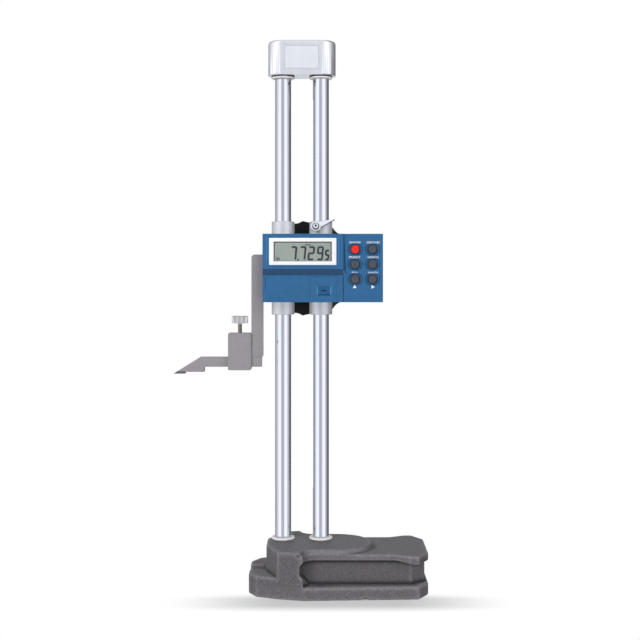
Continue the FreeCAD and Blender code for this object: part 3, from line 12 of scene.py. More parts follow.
import bpy
import numpy
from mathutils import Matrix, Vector

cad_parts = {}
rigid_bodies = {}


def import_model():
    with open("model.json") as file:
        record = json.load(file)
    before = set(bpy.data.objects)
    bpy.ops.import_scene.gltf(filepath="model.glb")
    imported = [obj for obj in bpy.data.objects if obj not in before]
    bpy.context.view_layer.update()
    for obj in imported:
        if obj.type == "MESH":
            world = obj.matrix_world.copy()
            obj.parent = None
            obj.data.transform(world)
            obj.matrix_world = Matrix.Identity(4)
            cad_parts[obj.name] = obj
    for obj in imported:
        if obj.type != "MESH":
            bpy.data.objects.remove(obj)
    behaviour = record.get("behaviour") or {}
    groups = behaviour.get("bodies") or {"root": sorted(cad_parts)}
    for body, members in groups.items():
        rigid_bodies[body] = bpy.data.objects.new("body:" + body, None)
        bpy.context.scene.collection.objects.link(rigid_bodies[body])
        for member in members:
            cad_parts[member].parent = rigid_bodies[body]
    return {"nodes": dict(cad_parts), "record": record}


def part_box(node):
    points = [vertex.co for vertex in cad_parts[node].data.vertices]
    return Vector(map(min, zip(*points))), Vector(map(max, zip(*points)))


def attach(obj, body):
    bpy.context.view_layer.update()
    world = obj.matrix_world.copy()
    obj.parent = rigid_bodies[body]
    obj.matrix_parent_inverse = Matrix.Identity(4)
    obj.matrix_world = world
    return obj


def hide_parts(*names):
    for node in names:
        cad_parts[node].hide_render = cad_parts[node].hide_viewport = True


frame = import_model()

LOG = logging.getLogger("height_gauge")
MM = 0.001
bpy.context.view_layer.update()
MERGE_DISTANCE = 0.002 * MM
FLAT_ANGLE = math.radians(1.0)
BLOCK_ANGLE = math.radians(50)
EDGE_DEGREES = 32.0
CAPITAL_SHARE = 0.7
# Name of the point attribute that holds painted shade and painted highlight.
PAINTED_LIGHT = "painted_light"


@dataclass(frozen=True)
class PhotoFrame:
    """The camera's geometry, so that a pixel of the photograph gives a place on a front plane."""

    middle: float = 320.0
    horizon: float = 275.0
    focal: float = 1100.0
    camera_across: float = 16.7 * MM
    camera_back: float = -1013.0 * MM
    camera_up: float = 286.0 * MM

    def place(self, column: float, row: float, level: float) -> Vector:
        """Gives the point of the plane Y = level that shows at a pixel.

        Args:
            column: pixel column in the 640 wide picture.
            row: pixel row.
            level: Y of the plane in metres.

        Returns:
            The point in metres.
        """
        step = (level - self.camera_back) / self.focal
        across = self.camera_across + (column - self.middle) * step
        up = self.camera_up - (row - self.horizon) * step
        return Vector((across, level, up))


PHOTO = PhotoFrame()


class Way(Enum):
    """The axis that a turned piece is made along, as the turn from Z."""

    UP = (0.0, 0.0, 0.0)
    BACK = (math.pi / 2, 0.0, 0.0)


class Segment(Enum):
    """The bars of a digit: centre across and up in half sizes, and whether it lies flat."""

    TOP = (0.0, 1.0, True)
    HIGH_RIGHT = (1.0, 0.5, False)
    LOW_RIGHT = (1.0, -0.5, False)
    BOTTOM = (0.0, -1.0, True)
    LOW_LEFT = (-1.0, -0.5, False)
    HIGH_LEFT = (-1.0, 0.5, False)
    MIDDLE = (0.0, 0.0, True)


DIGITS = {
    "7": (Segment.TOP, Segment.HIGH_RIGHT, Segment.LOW_RIGHT),
    "2": (Segment.TOP, Segment.HIGH_RIGHT, Segment.MIDDLE, Segment.LOW_LEFT, Segment.BOTTOM),
    "9": (Segment.TOP, Segment.HIGH_RIGHT, Segment.LOW_RIGHT, Segment.BOTTOM, Segment.HIGH_LEFT,
          Segment.MIDDLE),
    "5": (Segment.TOP, Segment.HIGH_LEFT, Segment.MIDDLE, Segment.LOW_RIGHT, Segment.BOTTOM),
}


def set_inputs(node: bpy.types.Node, inputs: dict[str | int, object]) -> None:
    """Sets a shader node's inputs.

    Args:
        node: the node.
        inputs: each input's value, or the output of another node that feeds it.
    """
    for key, value in inputs.items():
        if isinstance(value, bpy.types.NodeSocket):
            node.id_data.links.new(value, node.inputs[key])
        else:
            node.inputs[key].default_value = value


def add_node(tree: bpy.types.NodeTree, kind: str, inputs: dict[str | int, object] | None = None,
             **settings: object) -> bpy.types.Node:
    """Adds a shader node.

    Args:
        tree: the tree it belongs to.
        kind: the node's type after "ShaderNode".
        inputs: its inputs, as for set_inputs.
        **settings: its own settings.

    Returns:
        The node.
    """
    node = tree.nodes.new(f"ShaderNode{kind}")
    for name, value in settings.items():
        setattr(node, name, value)
    set_inputs(node, inputs or {})
    return node


def new_group(name: str, given: dict[str, object], results: dict[str, str]) -> tuple:
    """Starts a shader node group.

    Args:
        name: its name.
        given: default value of each input: a number, a vector of 3 or a colour of 4.
        results: socket type of each output.

    Returns:
        The group and the sockets of its input node.
    """
    group = bpy.data.node_groups.new(name, "ShaderNodeTree")
    kinds = {1: "NodeSocketFloat", 3: "NodeSocketVector", 4: "NodeSocketColor"}
    for label, value in given.items():
        kind = kinds[len(value) if isinstance(value, tuple) else 1]
        socket = group.interface.new_socket(label, in_out="INPUT", socket_type=kind)
        socket.default_value = value
    for label, kind in results.items():
        group.interface.new_socket(label, in_out="OUTPUT", socket_type=kind)
    return group, group.nodes.new("NodeGroupInput").outputs


def grain_group() -> bpy.types.NodeTree:
    """Builds the shared grain: colour, roughness and height that vary over a surface."""
    group, given = new_group("surface_grain", {
        "Dark": (0.1, 0.1, 0.1, 1.0), "Light": (0.2, 0.2, 0.2, 1.0), "Fine Scale": 900.0,
        "Coarse Scale": 60.0, "Coarse Share": 0.3, "Roughness Low": 0.3, "Roughness High": 0.5,
        "Stretch": (1.0, 1.0, 1.0)},
        {"Color": "NodeSocketColor", "Roughness": "NodeSocketFloat", "Height": "NodeSocketFloat"})
    where = add_node(group, "TexCoord").outputs["Object"]
    place = add_node(group, "VectorMath", {0: where, 1: given["Stretch"]},
                     operation="MULTIPLY").outputs[0]
    fine = add_node(group, "TexNoise", {
        "Vector": place, "Scale": given["Fine Scale"], "Detail": 4.0}).outputs["Fac"]
    coarse = add_node(group, "TexNoise", {
        "Vector": place, "Scale": given["Coarse Scale"], "Detail": 3.0}).outputs["Fac"]
    both = add_node(group, "Mix", {"Factor": given["Coarse Share"], "A": fine, "B": coarse})
    spread = add_node(group, "MapRange", {
        "Value": both.outputs["Result"], "From Min": 0.34, "From Max": 0.66})
    colour = add_node(group, "Mix", {
        "Factor": spread.outputs["Result"], "A": given["Dark"], "B": given["Light"]},
        data_type="RGBA")
    rough = add_node(group, "MapRange", {
        "Value": coarse, "From Min": 0.3, "From Max": 0.7, "To Min": given["Roughness Low"],
        "To Max": given["Roughness High"]})
    set_inputs(group.nodes.new("NodeGroupOutput"), {
        "Color": colour.outputs["Result"], "Roughness": rough.outputs["Result"], "Height": fine})
    return group


def speckle_group() -> bpy.types.NodeTree:
    """Builds the shared speckle of hammered and cast surfaces."""
    group, given = new_group("cast_speckle", {
        "Color": (0.1, 0.1, 0.1, 1.0), "Light": (0.3, 0.3, 0.3, 1.0), "Height": 0.5,
        "Cell Scale": 900.0, "Speckle": 0.35},
        {"Color": "NodeSocketColor", "Height": "NodeSocketFloat"})
    where = add_node(group, "TexCoord").outputs["Object"]
    cells = add_node(group, "TexVoronoi", {"Vector": where, "Scale": given["Cell Scale"]})
    grains = add_node(group, "SeparateColor", {"Color": cells.outputs["Color"]})
    bright = add_node(group, "MapRange", {
        "Value": grains.outputs["Red"], "From Min": 0.55, "From Max": 1.0,
        "To Max": given["Speckle"]})
    colour = add_node(group, "Mix", {
        "Factor": bright.outputs["Result"], "A": given["Color"], "B": given["Light"]},
        data_type="RGBA")
    height = add_node(group, "Math", {
        0: cells.outputs["Distance"], 1: 0.6, 2: given["Height"]}, operation="MULTIPLY_ADD")
    set_inputs(group.nodes.new("NodeGroupOutput"), {
        "Color": colour.outputs["Result"], "Height": height.outputs["Value"]})
    return group


GRAIN = grain_group()
SPECKLE = speckle_group()


def new_material(name: str) -> tuple[bpy.types.Material, bpy.types.Node]:
    """Starts a material.

    Args:
        name: its name.

    Returns:
        The material and its main shader.
    """
    material = bpy.data.materials.new(name)
    material.use_nodes = True
    return material, material.node_tree.nodes["Principled BSDF"]


@dataclass(frozen=True)
class Finish:
    """One finish: two tones mixed by grain, its gloss, and how deep the grain is."""

    name: str
    dark: tuple[float, float, float]
    light: tuple[float, float, float]
    gloss: tuple[float, float] = (0.35, 0.5)
    metallic: float = 0.0
    fine: float = 900.0
    coarse: float = 60.0
    coarse_share: float = 0.3
    stretch: tuple[float, float, float] = (1.0, 1.0, 1.0)
    bump: float = 0.1
    depth: float = 0.0001
    coat: float = 0.0
    coat_gloss: float = 0.08
    speckle: float = 0.0
    speckle_lift: float = 2.4
    cell: float = 900.0
    specular: float = 0.5
    # Colour scale at the most painted shade and at the most painted highlight, read from the
    # painted-light attribute.
    painted_shade_tone: float = 1.0
    painted_highlight_tone: float = 1.0

    @cache
    def material(self) -> bpy.types.Material:
        """Makes the material, once.

        Returns:
            The material.
        """
        material, shader = new_material(f"{self.name}_finish")
        tree = material.node_tree
        grain = add_node(tree, "Group", {
            "Dark": (*self.dark, 1.0), "Light": (*self.light, 1.0), "Fine Scale": self.fine,
            "Coarse Scale": self.coarse, "Coarse Share": self.coarse_share,
            "Roughness Low": self.gloss[0], "Roughness High": self.gloss[1],
            "Stretch": self.stretch}, node_tree=GRAIN)
        colour, height = grain.outputs["Color"], grain.outputs["Height"]
        if self.speckle:
            bright = [min(1.0, tone * self.speckle_lift) for tone in self.light]
            cast = add_node(tree, "Group", {
                "Color": colour, "Light": (*bright, 1.0), "Height": height,
                "Cell Scale": self.cell, "Speckle": self.speckle}, node_tree=SPECKLE)
            colour, height = cast.outputs["Color"], cast.outputs["Height"]
        # Painted shade and painted highlight: the colour is scaled down in hollows and up on
        # edges.
        if self.painted_shade_tone < 1.0:
            painted_light = add_node(tree, "Attribute", attribute_name=PAINTED_LIGHT)
            tone = add_node(tree, "MapRange", {
                "Value": painted_light.outputs["Fac"], "From Min": -1.0, "To Min": self.painted_shade_tone,
                "To Max": self.painted_highlight_tone})
            colour = add_node(tree, "VectorMath", {0: colour, "Scale": tone.outputs["Result"]},
                              operation="SCALE").outputs["Vector"]
        bump = add_node(tree, "Bump", {
            "Strength": self.bump, "Distance": self.depth, "Height": height})
        set_inputs(shader, {
            "Base Color": colour, "Metallic": self.metallic, "Coat Weight": self.coat,
            "Coat Roughness": self.coat_gloss, "Specular IOR Level": self.specular,
            "Roughness": grain.outputs["Roughness"], "Normal": bump.outputs["Normal"]})
        return material


@dataclass(frozen=True)
class ClearWindow:
    """The clear plate over the display."""

    name: str = "clear_window"
    tone: tuple[float, float, float] = (0.93, 0.96, 0.95)
    alpha: float = 0.04
    gloss: tuple[float, float] = (0.04, 0.1)
    haze: float = 120.0

    @cache
    def material(self) -> bpy.types.Material:
        """Makes the clear material, once.

        Returns:
            The material.
        """
        material, shader = new_material(f"{self.name}_finish")
        tree = material.node_tree
        where = add_node(tree, "TexCoord").outputs["Object"]
        haze = add_node(tree, "TexNoise", {"Vector": where, "Scale": self.haze})
        rough = add_node(tree, "MapRange", {
            "Value": haze.outputs["Fac"], "To Min": self.gloss[0], "To Max": self.gloss[1]})
        set_inputs(shader, {
            "Base Color": (*self.tone, 1.0), "Alpha": self.alpha, "IOR": 1.45,
            "Roughness": rough.outputs["Result"]})
        return material


def moulded(name: str, dark: tuple, light: tuple, gloss: tuple, **rest: float) -> Finish:
    """Makes a finish with the fine grain of the housing's moulded plastic."""
    return Finish(name, dark, light, gloss, 0.0, 3200.0, 260.0, 0.35, **rest)


def rubber(name: str, dark: tuple, light: tuple, gloss: tuple, **rest: float) -> Finish:
    """Makes a finish with the grain of the keys' soft rubber."""
    return Finish(name, dark, light, gloss, 0.0, 2500.0, 200.0, bump=0.08, **rest)


# The cast base, with painted shade in its hollows and painted highlight on its edges.
HAMMERED_IRON = Finish(
    "hammered_iron", (0.076, 0.071, 0.077), (0.124, 0.117, 0.126), (0.42, 0.54), 0.1, 1900.0,
    320.0, bump=0.6, depth=0.0004, speckle=0.36, cell=1900.0, specular=0.32, painted_shade_tone=0.18,
    painted_highlight_tone=1.95)
POLISHED_STEEL = Finish(
    "polished_steel", (0.66, 0.68, 0.74), (0.7, 0.72, 0.78), (0.1, 0.13), 1.0, 700.0, 60.0, 0.5,
    stretch=(1.0, 1.0, 0.02), bump=0.0)
RACK_STEEL = Finish(
    "rack_steel", (0.2, 0.21, 0.23), (0.36, 0.37, 0.4), (0.28, 0.42), 1.0, 1200.0, 90.0,
    depth=0.00005)
IVORY_RING = Finish(
    "ivory_ring", (0.84, 0.83, 0.79), (0.92, 0.91, 0.88), (0.32, 0.45), 0.0, 500.0, bump=0.06)
SATIN_ALUMINIUM = Finish(
    "satin_aluminium", (0.86, 0.87, 0.92), (0.92, 0.93, 0.97), (0.36, 0.42), 0.92, 2600.0, 90.0,
    bump=0.06, depth=0.00004)
SATIN_CASTING = Finish(
    "satin_casting", (0.63, 0.64, 0.67), (0.74, 0.75, 0.78), (0.42, 0.5), 0.6, 2200.0, 100.0,
    0.35, bump=0.12, depth=0.00006)
BLUE_MOULDING = moulded(
    "blue_moulding", (0.019, 0.104, 0.246), (0.031, 0.139, 0.306), (0.42, 0.54), bump=0.22,
    specular=0.4)
# Painted shade on the dish rims and on slopes that face away from the light.
PAINTED_SHADE_BLUE = moulded(
    "painted_shade_blue", (0.011, 0.05, 0.122), (0.018, 0.064, 0.15), (0.45, 0.56), bump=0.22,
    specular=0.35)
GRIP_BLUE = moulded(
    "grip_blue", (0.016, 0.086, 0.206), (0.024, 0.112, 0.252), (0.48, 0.58), bump=0.2,
    specular=0.3)
# Painted shade on the walls of dishes, slots and seam and on the grip's dash.
DEEP_SHADE_BLUE = moulded(
    "deep_shade_blue", (0.006, 0.022, 0.055), (0.01, 0.032, 0.075), (0.55, 0.65), specular=0.3)
# Painted highlight on the upright edges of the display's surround and on the grip's sides.
PAINTED_HIGHLIGHT_BLUE = moulded("painted_highlight_blue", (0.085, 0.255, 0.48), (0.115, 0.31, 0.56), (0.34, 0.44))
WHITE_BEZEL = Finish(
    "white_bezel", (0.9, 0.9, 0.91), (0.95, 0.95, 0.96), (0.26, 0.34), 0.0, 900.0, 50.0,
    bump=0.03)
DISPLAY_FILM = Finish(
    "display_film", (0.285, 0.325, 0.292), (0.325, 0.365, 0.332), (0.36, 0.44), 0.0, 2500.0,
    30.0, 0.6, bump=0.02)
DISPLAY_INK = Finish(
    "display_ink", (0.006, 0.008, 0.018), (0.01, 0.013, 0.026), (0.6, 0.7), 0.0, 2500.0, 30.0,
    bump=0.0)
DISPLAY_SHADE = Finish(
    "display_shade", (0.04, 0.048, 0.05), (0.06, 0.07, 0.07), (0.5, 0.6), 0.0, 2500.0, 30.0,
    bump=0.0)
PRINT_WHITE = Finish(
    "print_white", (0.8, 0.83, 0.86), (0.88, 0.9, 0.92), (0.45, 0.55), 0.0, 2500.0, 200.0,
    bump=0.03)
RED_RUBBER = rubber(
    "red_rubber", (0.84, 0.018, 0.01), (0.95, 0.032, 0.018), (0.42, 0.52), specular=0.35)
DARK_RUBBER = rubber(
    "dark_rubber", (0.05, 0.052, 0.066), (0.07, 0.072, 0.088), (0.38, 0.5), coat=0.1)
BLASTED_STEEL = Finish(
    "blasted_steel", (0.272, 0.253, 0.27), (0.343, 0.322, 0.341), (0.55, 0.66), 0.2, 3000.0,
    420.0, 0.4, bump=0.35, depth=0.00012, speckle=0.08, cell=2600.0)
NICKEL = Finish(
    "nickel", (0.54, 0.535, 0.53), (0.68, 0.67, 0.66), (0.18, 0.28), 1.0, 900.0, 80.0,
    bump=0.05, depth=0.00005)
BRIGHT_NICKEL = Finish(
    "bright_nickel", (0.82, 0.83, 0.87), (0.9, 0.91, 0.94), (0.3, 0.4), 0.35, 1800.0, 120.0,
    bump=0.05, depth=0.00005)
THREAD_STEEL = Finish(
    "thread_steel", (0.24, 0.22, 0.2), (0.4, 0.37, 0.34), (0.26, 0.38), 0.9, 1200.0, 90.0,
    depth=0.00005)
SHADE_GREY = Finish(
    "shade_grey", (0.035, 0.036, 0.04), (0.055, 0.056, 0.06), (0.5, 0.6), 0.0, 1800.0, 120.0,
    bump=0.05, specular=0.2)
BLACK_OXIDE = Finish(
    "black_oxide", (0.018, 0.018, 0.02), (0.034, 0.034, 0.037), (0.34, 0.48), 0.6, 1500.0,
    120.0, bump=0.08)
BLACK_MOULDING = Finish(
    "black_moulding", (0.004, 0.004, 0.0045), (0.009, 0.009, 0.01), (0.4, 0.52), 0.0, 2200.0,
    120.0, bump=0.15, specular=0.25)
BRONZE = Finish(
    "bronze", (0.42, 0.29, 0.13), (0.56, 0.4, 0.2), (0.28, 0.4), 1.0, 900.0, 80.0, bump=0.06)
BRASS = Finish(
    "brass", (0.56, 0.42, 0.17), (0.7, 0.54, 0.25), (0.24, 0.36), 1.0, 900.0, 80.0, bump=0.05)
GREY_RUBBER = Finish(
    "grey_rubber", (0.075, 0.075, 0.078), (0.1, 0.1, 0.105), (0.6, 0.75), 0.0, 1600.0, 150.0,
    bump=0.15)
GREEN_BOARD = Finish(
    "green_board", (0.012, 0.085, 0.035), (0.02, 0.115, 0.05), (0.28, 0.4), 0.0, 1500.0, 150.0,
    bump=0.08)
CARBIDE = Finish(
    "carbide", (0.1, 0.096, 0.104), (0.15, 0.144, 0.154), (0.34, 0.46), 0.5, 2600.0, 200.0,
    bump=0.05)
PLATE_SILVER = Finish(
    "plate_silver", (0.76, 0.79, 0.84), (0.82, 0.85, 0.9), (0.4, 0.48), 0.4, 2400.0, 80.0,
    bump=0.05)
PLATE_LINE = Finish(
    "plate_line", (0.3, 0.31, 0.34), (0.4, 0.41, 0.44), (0.45, 0.55), 0.3, 2400.0, 80.0,
    bump=0.05)

NODE_FINISHES: dict[str, Finish | ClearWindow] = {
    "base_casting": HAMMERED_IRON, "column_left": POLISHED_STEEL,
    "column_right": POLISHED_STEEL, "rack": RACK_STEEL, "lower_ring_left": IVORY_RING,
    "lower_ring_right": IVORY_RING, "upper_ring_left": IVORY_RING,
    "upper_ring_right": IVORY_RING, "column_bolts": BLACK_OXIDE, "top_cap": SATIN_ALUMINIUM,
    "cap_set_screws": BLACK_OXIDE, "slider_casting": SATIN_CASTING, "lower_bush_left": BRONZE,
    "lower_bush_right": BRONZE, "upper_bush_left": BRONZE, "upper_bush_right": BRONZE,
    "shaft_bush": BRONZE, "gear_cover": SATIN_CASTING, "gear_cover_screws": NICKEL,
    "plate_screws": NICKEL, "lock_plug": BRASS, "housing_back": BLUE_MOULDING,
    "front_cover": BLUE_MOULDING, "housing_screws": NICKEL, "lcd_bezel": WHITE_BEZEL,
    "lcd_window": ClearWindow(), "lcd_panel": DISPLAY_FILM, "contact_strip_lower": GREY_RUBBER,
    "contact_strip_upper": GREY_RUBBER, "circuit_board": GREEN_BOARD,
    "keypad_mat": GREY_RUBBER, "battery": NICKEL, "battery_contact": BRASS,
    "scriber_arm": BLASTED_STEEL, "arm_screws": BLACK_OXIDE, "hand_wheel": BLACK_MOULDING,
    "wheel_shaft": RACK_STEEL, "drive_pinion": BRASS, "wheel_screw": NICKEL,
    "encoder_gear": BRASS, "encoder_shaft": RACK_STEEL, "encoder_disc": NICKEL,
    "lock_lever": BRIGHT_NICKEL, "lock_screw": NICKEL, "power_button": RED_RUBBER,
    "zero_button": DARK_RUBBER, "preset_button": DARK_RUBBER, "data_button": DARK_RUBBER,
    "sign_button": DARK_RUBBER, "unit_button": DARK_RUBBER, "battery_cover": BLUE_MOULDING,
    "scriber_clamp": BLASTED_STEEL, "clamp_pad": RACK_STEEL, "clamp_screw": NICKEL,
    "scriber": BLASTED_STEEL, "carbide_tip": CARBIDE,
}


def body_of(node: str) -> str:
    """Finds the body that a node of the frame belongs to."""
    bodies = frame["record"]["behaviour"]["bodies"]
    return next(name for name, nodes in bodies.items() if node in nodes)


def slot_of(node: str) -> str:
    """Finds the record's material slot of a node."""
    rows = frame["record"]["subparts"]
    return next(row["material_slot"] for row in rows if row["node"] == node)


def corners(node: str) -> tuple[Vector, Vector]:
    """Gives the lowest and the highest corner of a node's box."""
    low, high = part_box(node)
    return Vector(low), Vector(high)


def deselect() -> None:
    """Leaves nothing selected."""
    for item in bpy.context.view_layer.objects:
        item.select_set(False)


def select_only(piece: bpy.types.Object) -> None:
    """Selects one object and makes it active.

    Args:
        piece: the object.
    """
    deselect()
    piece.select_set(True)
    bpy.context.view_layer.objects.active = piece


@contextmanager
def editing() -> Iterator[None]:
    """Keeps the active object in edit mode."""
    bpy.ops.object.mode_set(mode="EDIT")
    yield
    bpy.ops.object.mode_set(mode="OBJECT")


def settle(piece: bpy.types.Object) -> None:
    """Puts a piece's place into its mesh, so that its object sits at the origin."""
    select_only(piece)
    bpy.ops.object.transform_apply(location=True, rotation=True, scale=True)


def smooth(piece: bpy.types.Object, degrees: float = 30.0) -> None:
    """Shades a piece smooth except across its sharp edges."""
    select_only(piece)
    bpy.ops.object.shade_smooth_by_angle(angle=math.radians(degrees))


def apply_modifier(piece: bpy.types.Object, kind: str, **values: object) -> None:
    """Adds a modifier to a piece and applies it.

    Args:
        piece: the object.
        kind: the modifier's type.
        **values: its settings.
    """
    select_only(piece)
    modifier = piece.modifiers.new(kind.lower(), kind)
    for name, value in values.items():
        setattr(modifier, name, value)
    bpy.ops.object.modifier_apply(modifier=modifier.name)


def round_edges(piece: bpy.types.Object, width: float, segments: int, angle: float) -> None:
    """Rounds the edges of a piece that are sharper than an angle in radians."""
    apply_modifier(piece, "BEVEL", width=width, segments=segments, limit_method="ANGLE",
                   angle_limit=angle)


def dress(piece: bpy.types.Object, finish: Finish | ClearWindow) -> None:
    """Gives a piece one finish."""
    piece.data.materials.clear()
    piece.data.materials.append(finish.material())


def enter(piece: bpy.types.Object, name: str, body: str, slot: str, finish: Finish,
          *replaced: str) -> bpy.types.Object:
    """Names, dresses and attaches a finished piece to its body.

    Args:
        piece: the object.
        name: its name.
        body: the body it moves with.
        slot: the record's material slot; not used.
        finish: its finish.
        *replaced: the nodes it stands for.

    Returns:
        The same object.
    """
    piece.name = name
    piece.data.name = name
    settle(piece)
    dress(piece, finish)
    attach(piece, body)
    if replaced:
        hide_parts(*replaced)
    LOG.info("%s: %d faces", name, len(piece.data.polygons))
    return piece


def join(pieces: list[bpy.types.Object]) -> bpy.types.Object:
    """Joins several objects into the first one.

    Args:
        pieces: the objects.

    Returns:
        The first one.
    """
    deselect()
    for piece in pieces:
        piece.select_set(True)
    bpy.context.view_layer.objects.active = pieces[0]
    bpy.ops.object.join()
    return pieces[0]


def turned(radius: float, low: float, high: float, centre: Vector, way: Way, sides: int,
           bevel: float = 0.0) -> bpy.types.Object:
    """Makes a round bar along an axis with rounded rims.

    Args:
        radius: in metres.
        low: first end, measured along the axis from the centre.
        high: second end.
        centre: a point of the axis.
        way: the axis.
        sides: number of sides.
        bevel: width of the rounded rims.

    Returns:
        The object.
    """
    along = {Way.UP: Vector((0, 0, 1)), Way.BACK: Vector((0, 1, 0))}[way]
    deselect()
    bpy.ops.mesh.primitive_cylinder_add(
        vertices=sides, radius=radius, depth=high - low,
        location=centre + along * (low + high) / 2, rotation=way.value)
    piece = bpy.context.object
    settle(piece)
    if bevel:
        round_edges(piece, bevel, 3, BLOCK_ANGLE)
    smooth(piece)
    return piece


def block(low: Vector, high: Vector, bevel: float = 0.0) -> bpy.types.Object:
    """Makes a block between two corners with rounded edges.

    Args:
        low: lowest corner.
        high: highest corner.
        bevel: width of the rounded edges.

    Returns:
        The object.
    """
    deselect()
    bpy.ops.mesh.primitive_cube_add(size=1.0, location=(low + high) / 2)
    piece = bpy.context.object
    piece.scale = high - low
    settle(piece)
    if bevel:
        round_edges(piece, bevel, 2, BLOCK_ANGLE)
    smooth(piece)
    return piece


def merged_copy(node: str, tidy: bool = True) -> bpy.types.Object:
    """Copies a node's mesh and merges its loose triangles.

    Args:
        node: the node of the frame.
        tidy: whether triangles that lie in one plane become one face.

    Returns:
        The copy.
    """
    source = frame["nodes"][node]
    piece = bpy.data.objects.new(f"{node}_dressed", source.data.copy())
    bpy.context.scene.collection.objects.link(piece)
    piece.matrix_world = source.matrix_world.copy()
    settle(piece)
    with editing():
        bpy.ops.mesh.select_all(action="SELECT")
        bpy.ops.mesh.remove_doubles(threshold=MERGE_DISTANCE)
        if tidy:
            bpy.ops.mesh.dissolve_limited(angle_limit=FLAT_ANGLE)
    return piece


def tint_faces(piece: bpy.types.Object, finish: Finish,
               chosen: Callable[[Vector, Vector], bool]) -> None:
    """Gives some faces of a dressed piece a second finish.

    Args:
        piece: the piece, already dressed.
        finish: the second finish.
        chosen: tells from a face's middle and normal whether it takes that finish.
    """
    piece.data.materials.append(finish.material())
    index = len(piece.data.materials) - 1
    for face in piece.data.polygons:
        if chosen(face.center, face.normal):
            face.material_index = index


def rounded_copy(node: str, width: float) -> bpy.types.Object:
    """Makes a copy of a node whose sharp edges are rounded, and puts it in the node's place.

    Args:
        node: the node of the frame.
        width: width of the rounded edges in metres, or 0 for none.

    Returns:
        The dressed copy.
    """
    piece = merged_copy(node)
    if width:
        round_edges(piece, width, 2, math.radians(EDGE_DEGREES))
    smooth(piece, EDGE_DEGREES)
    return enter(piece, f"{node}_dressed", body_of(node), slot_of(node), NODE_FINISHES[node],
                 node)


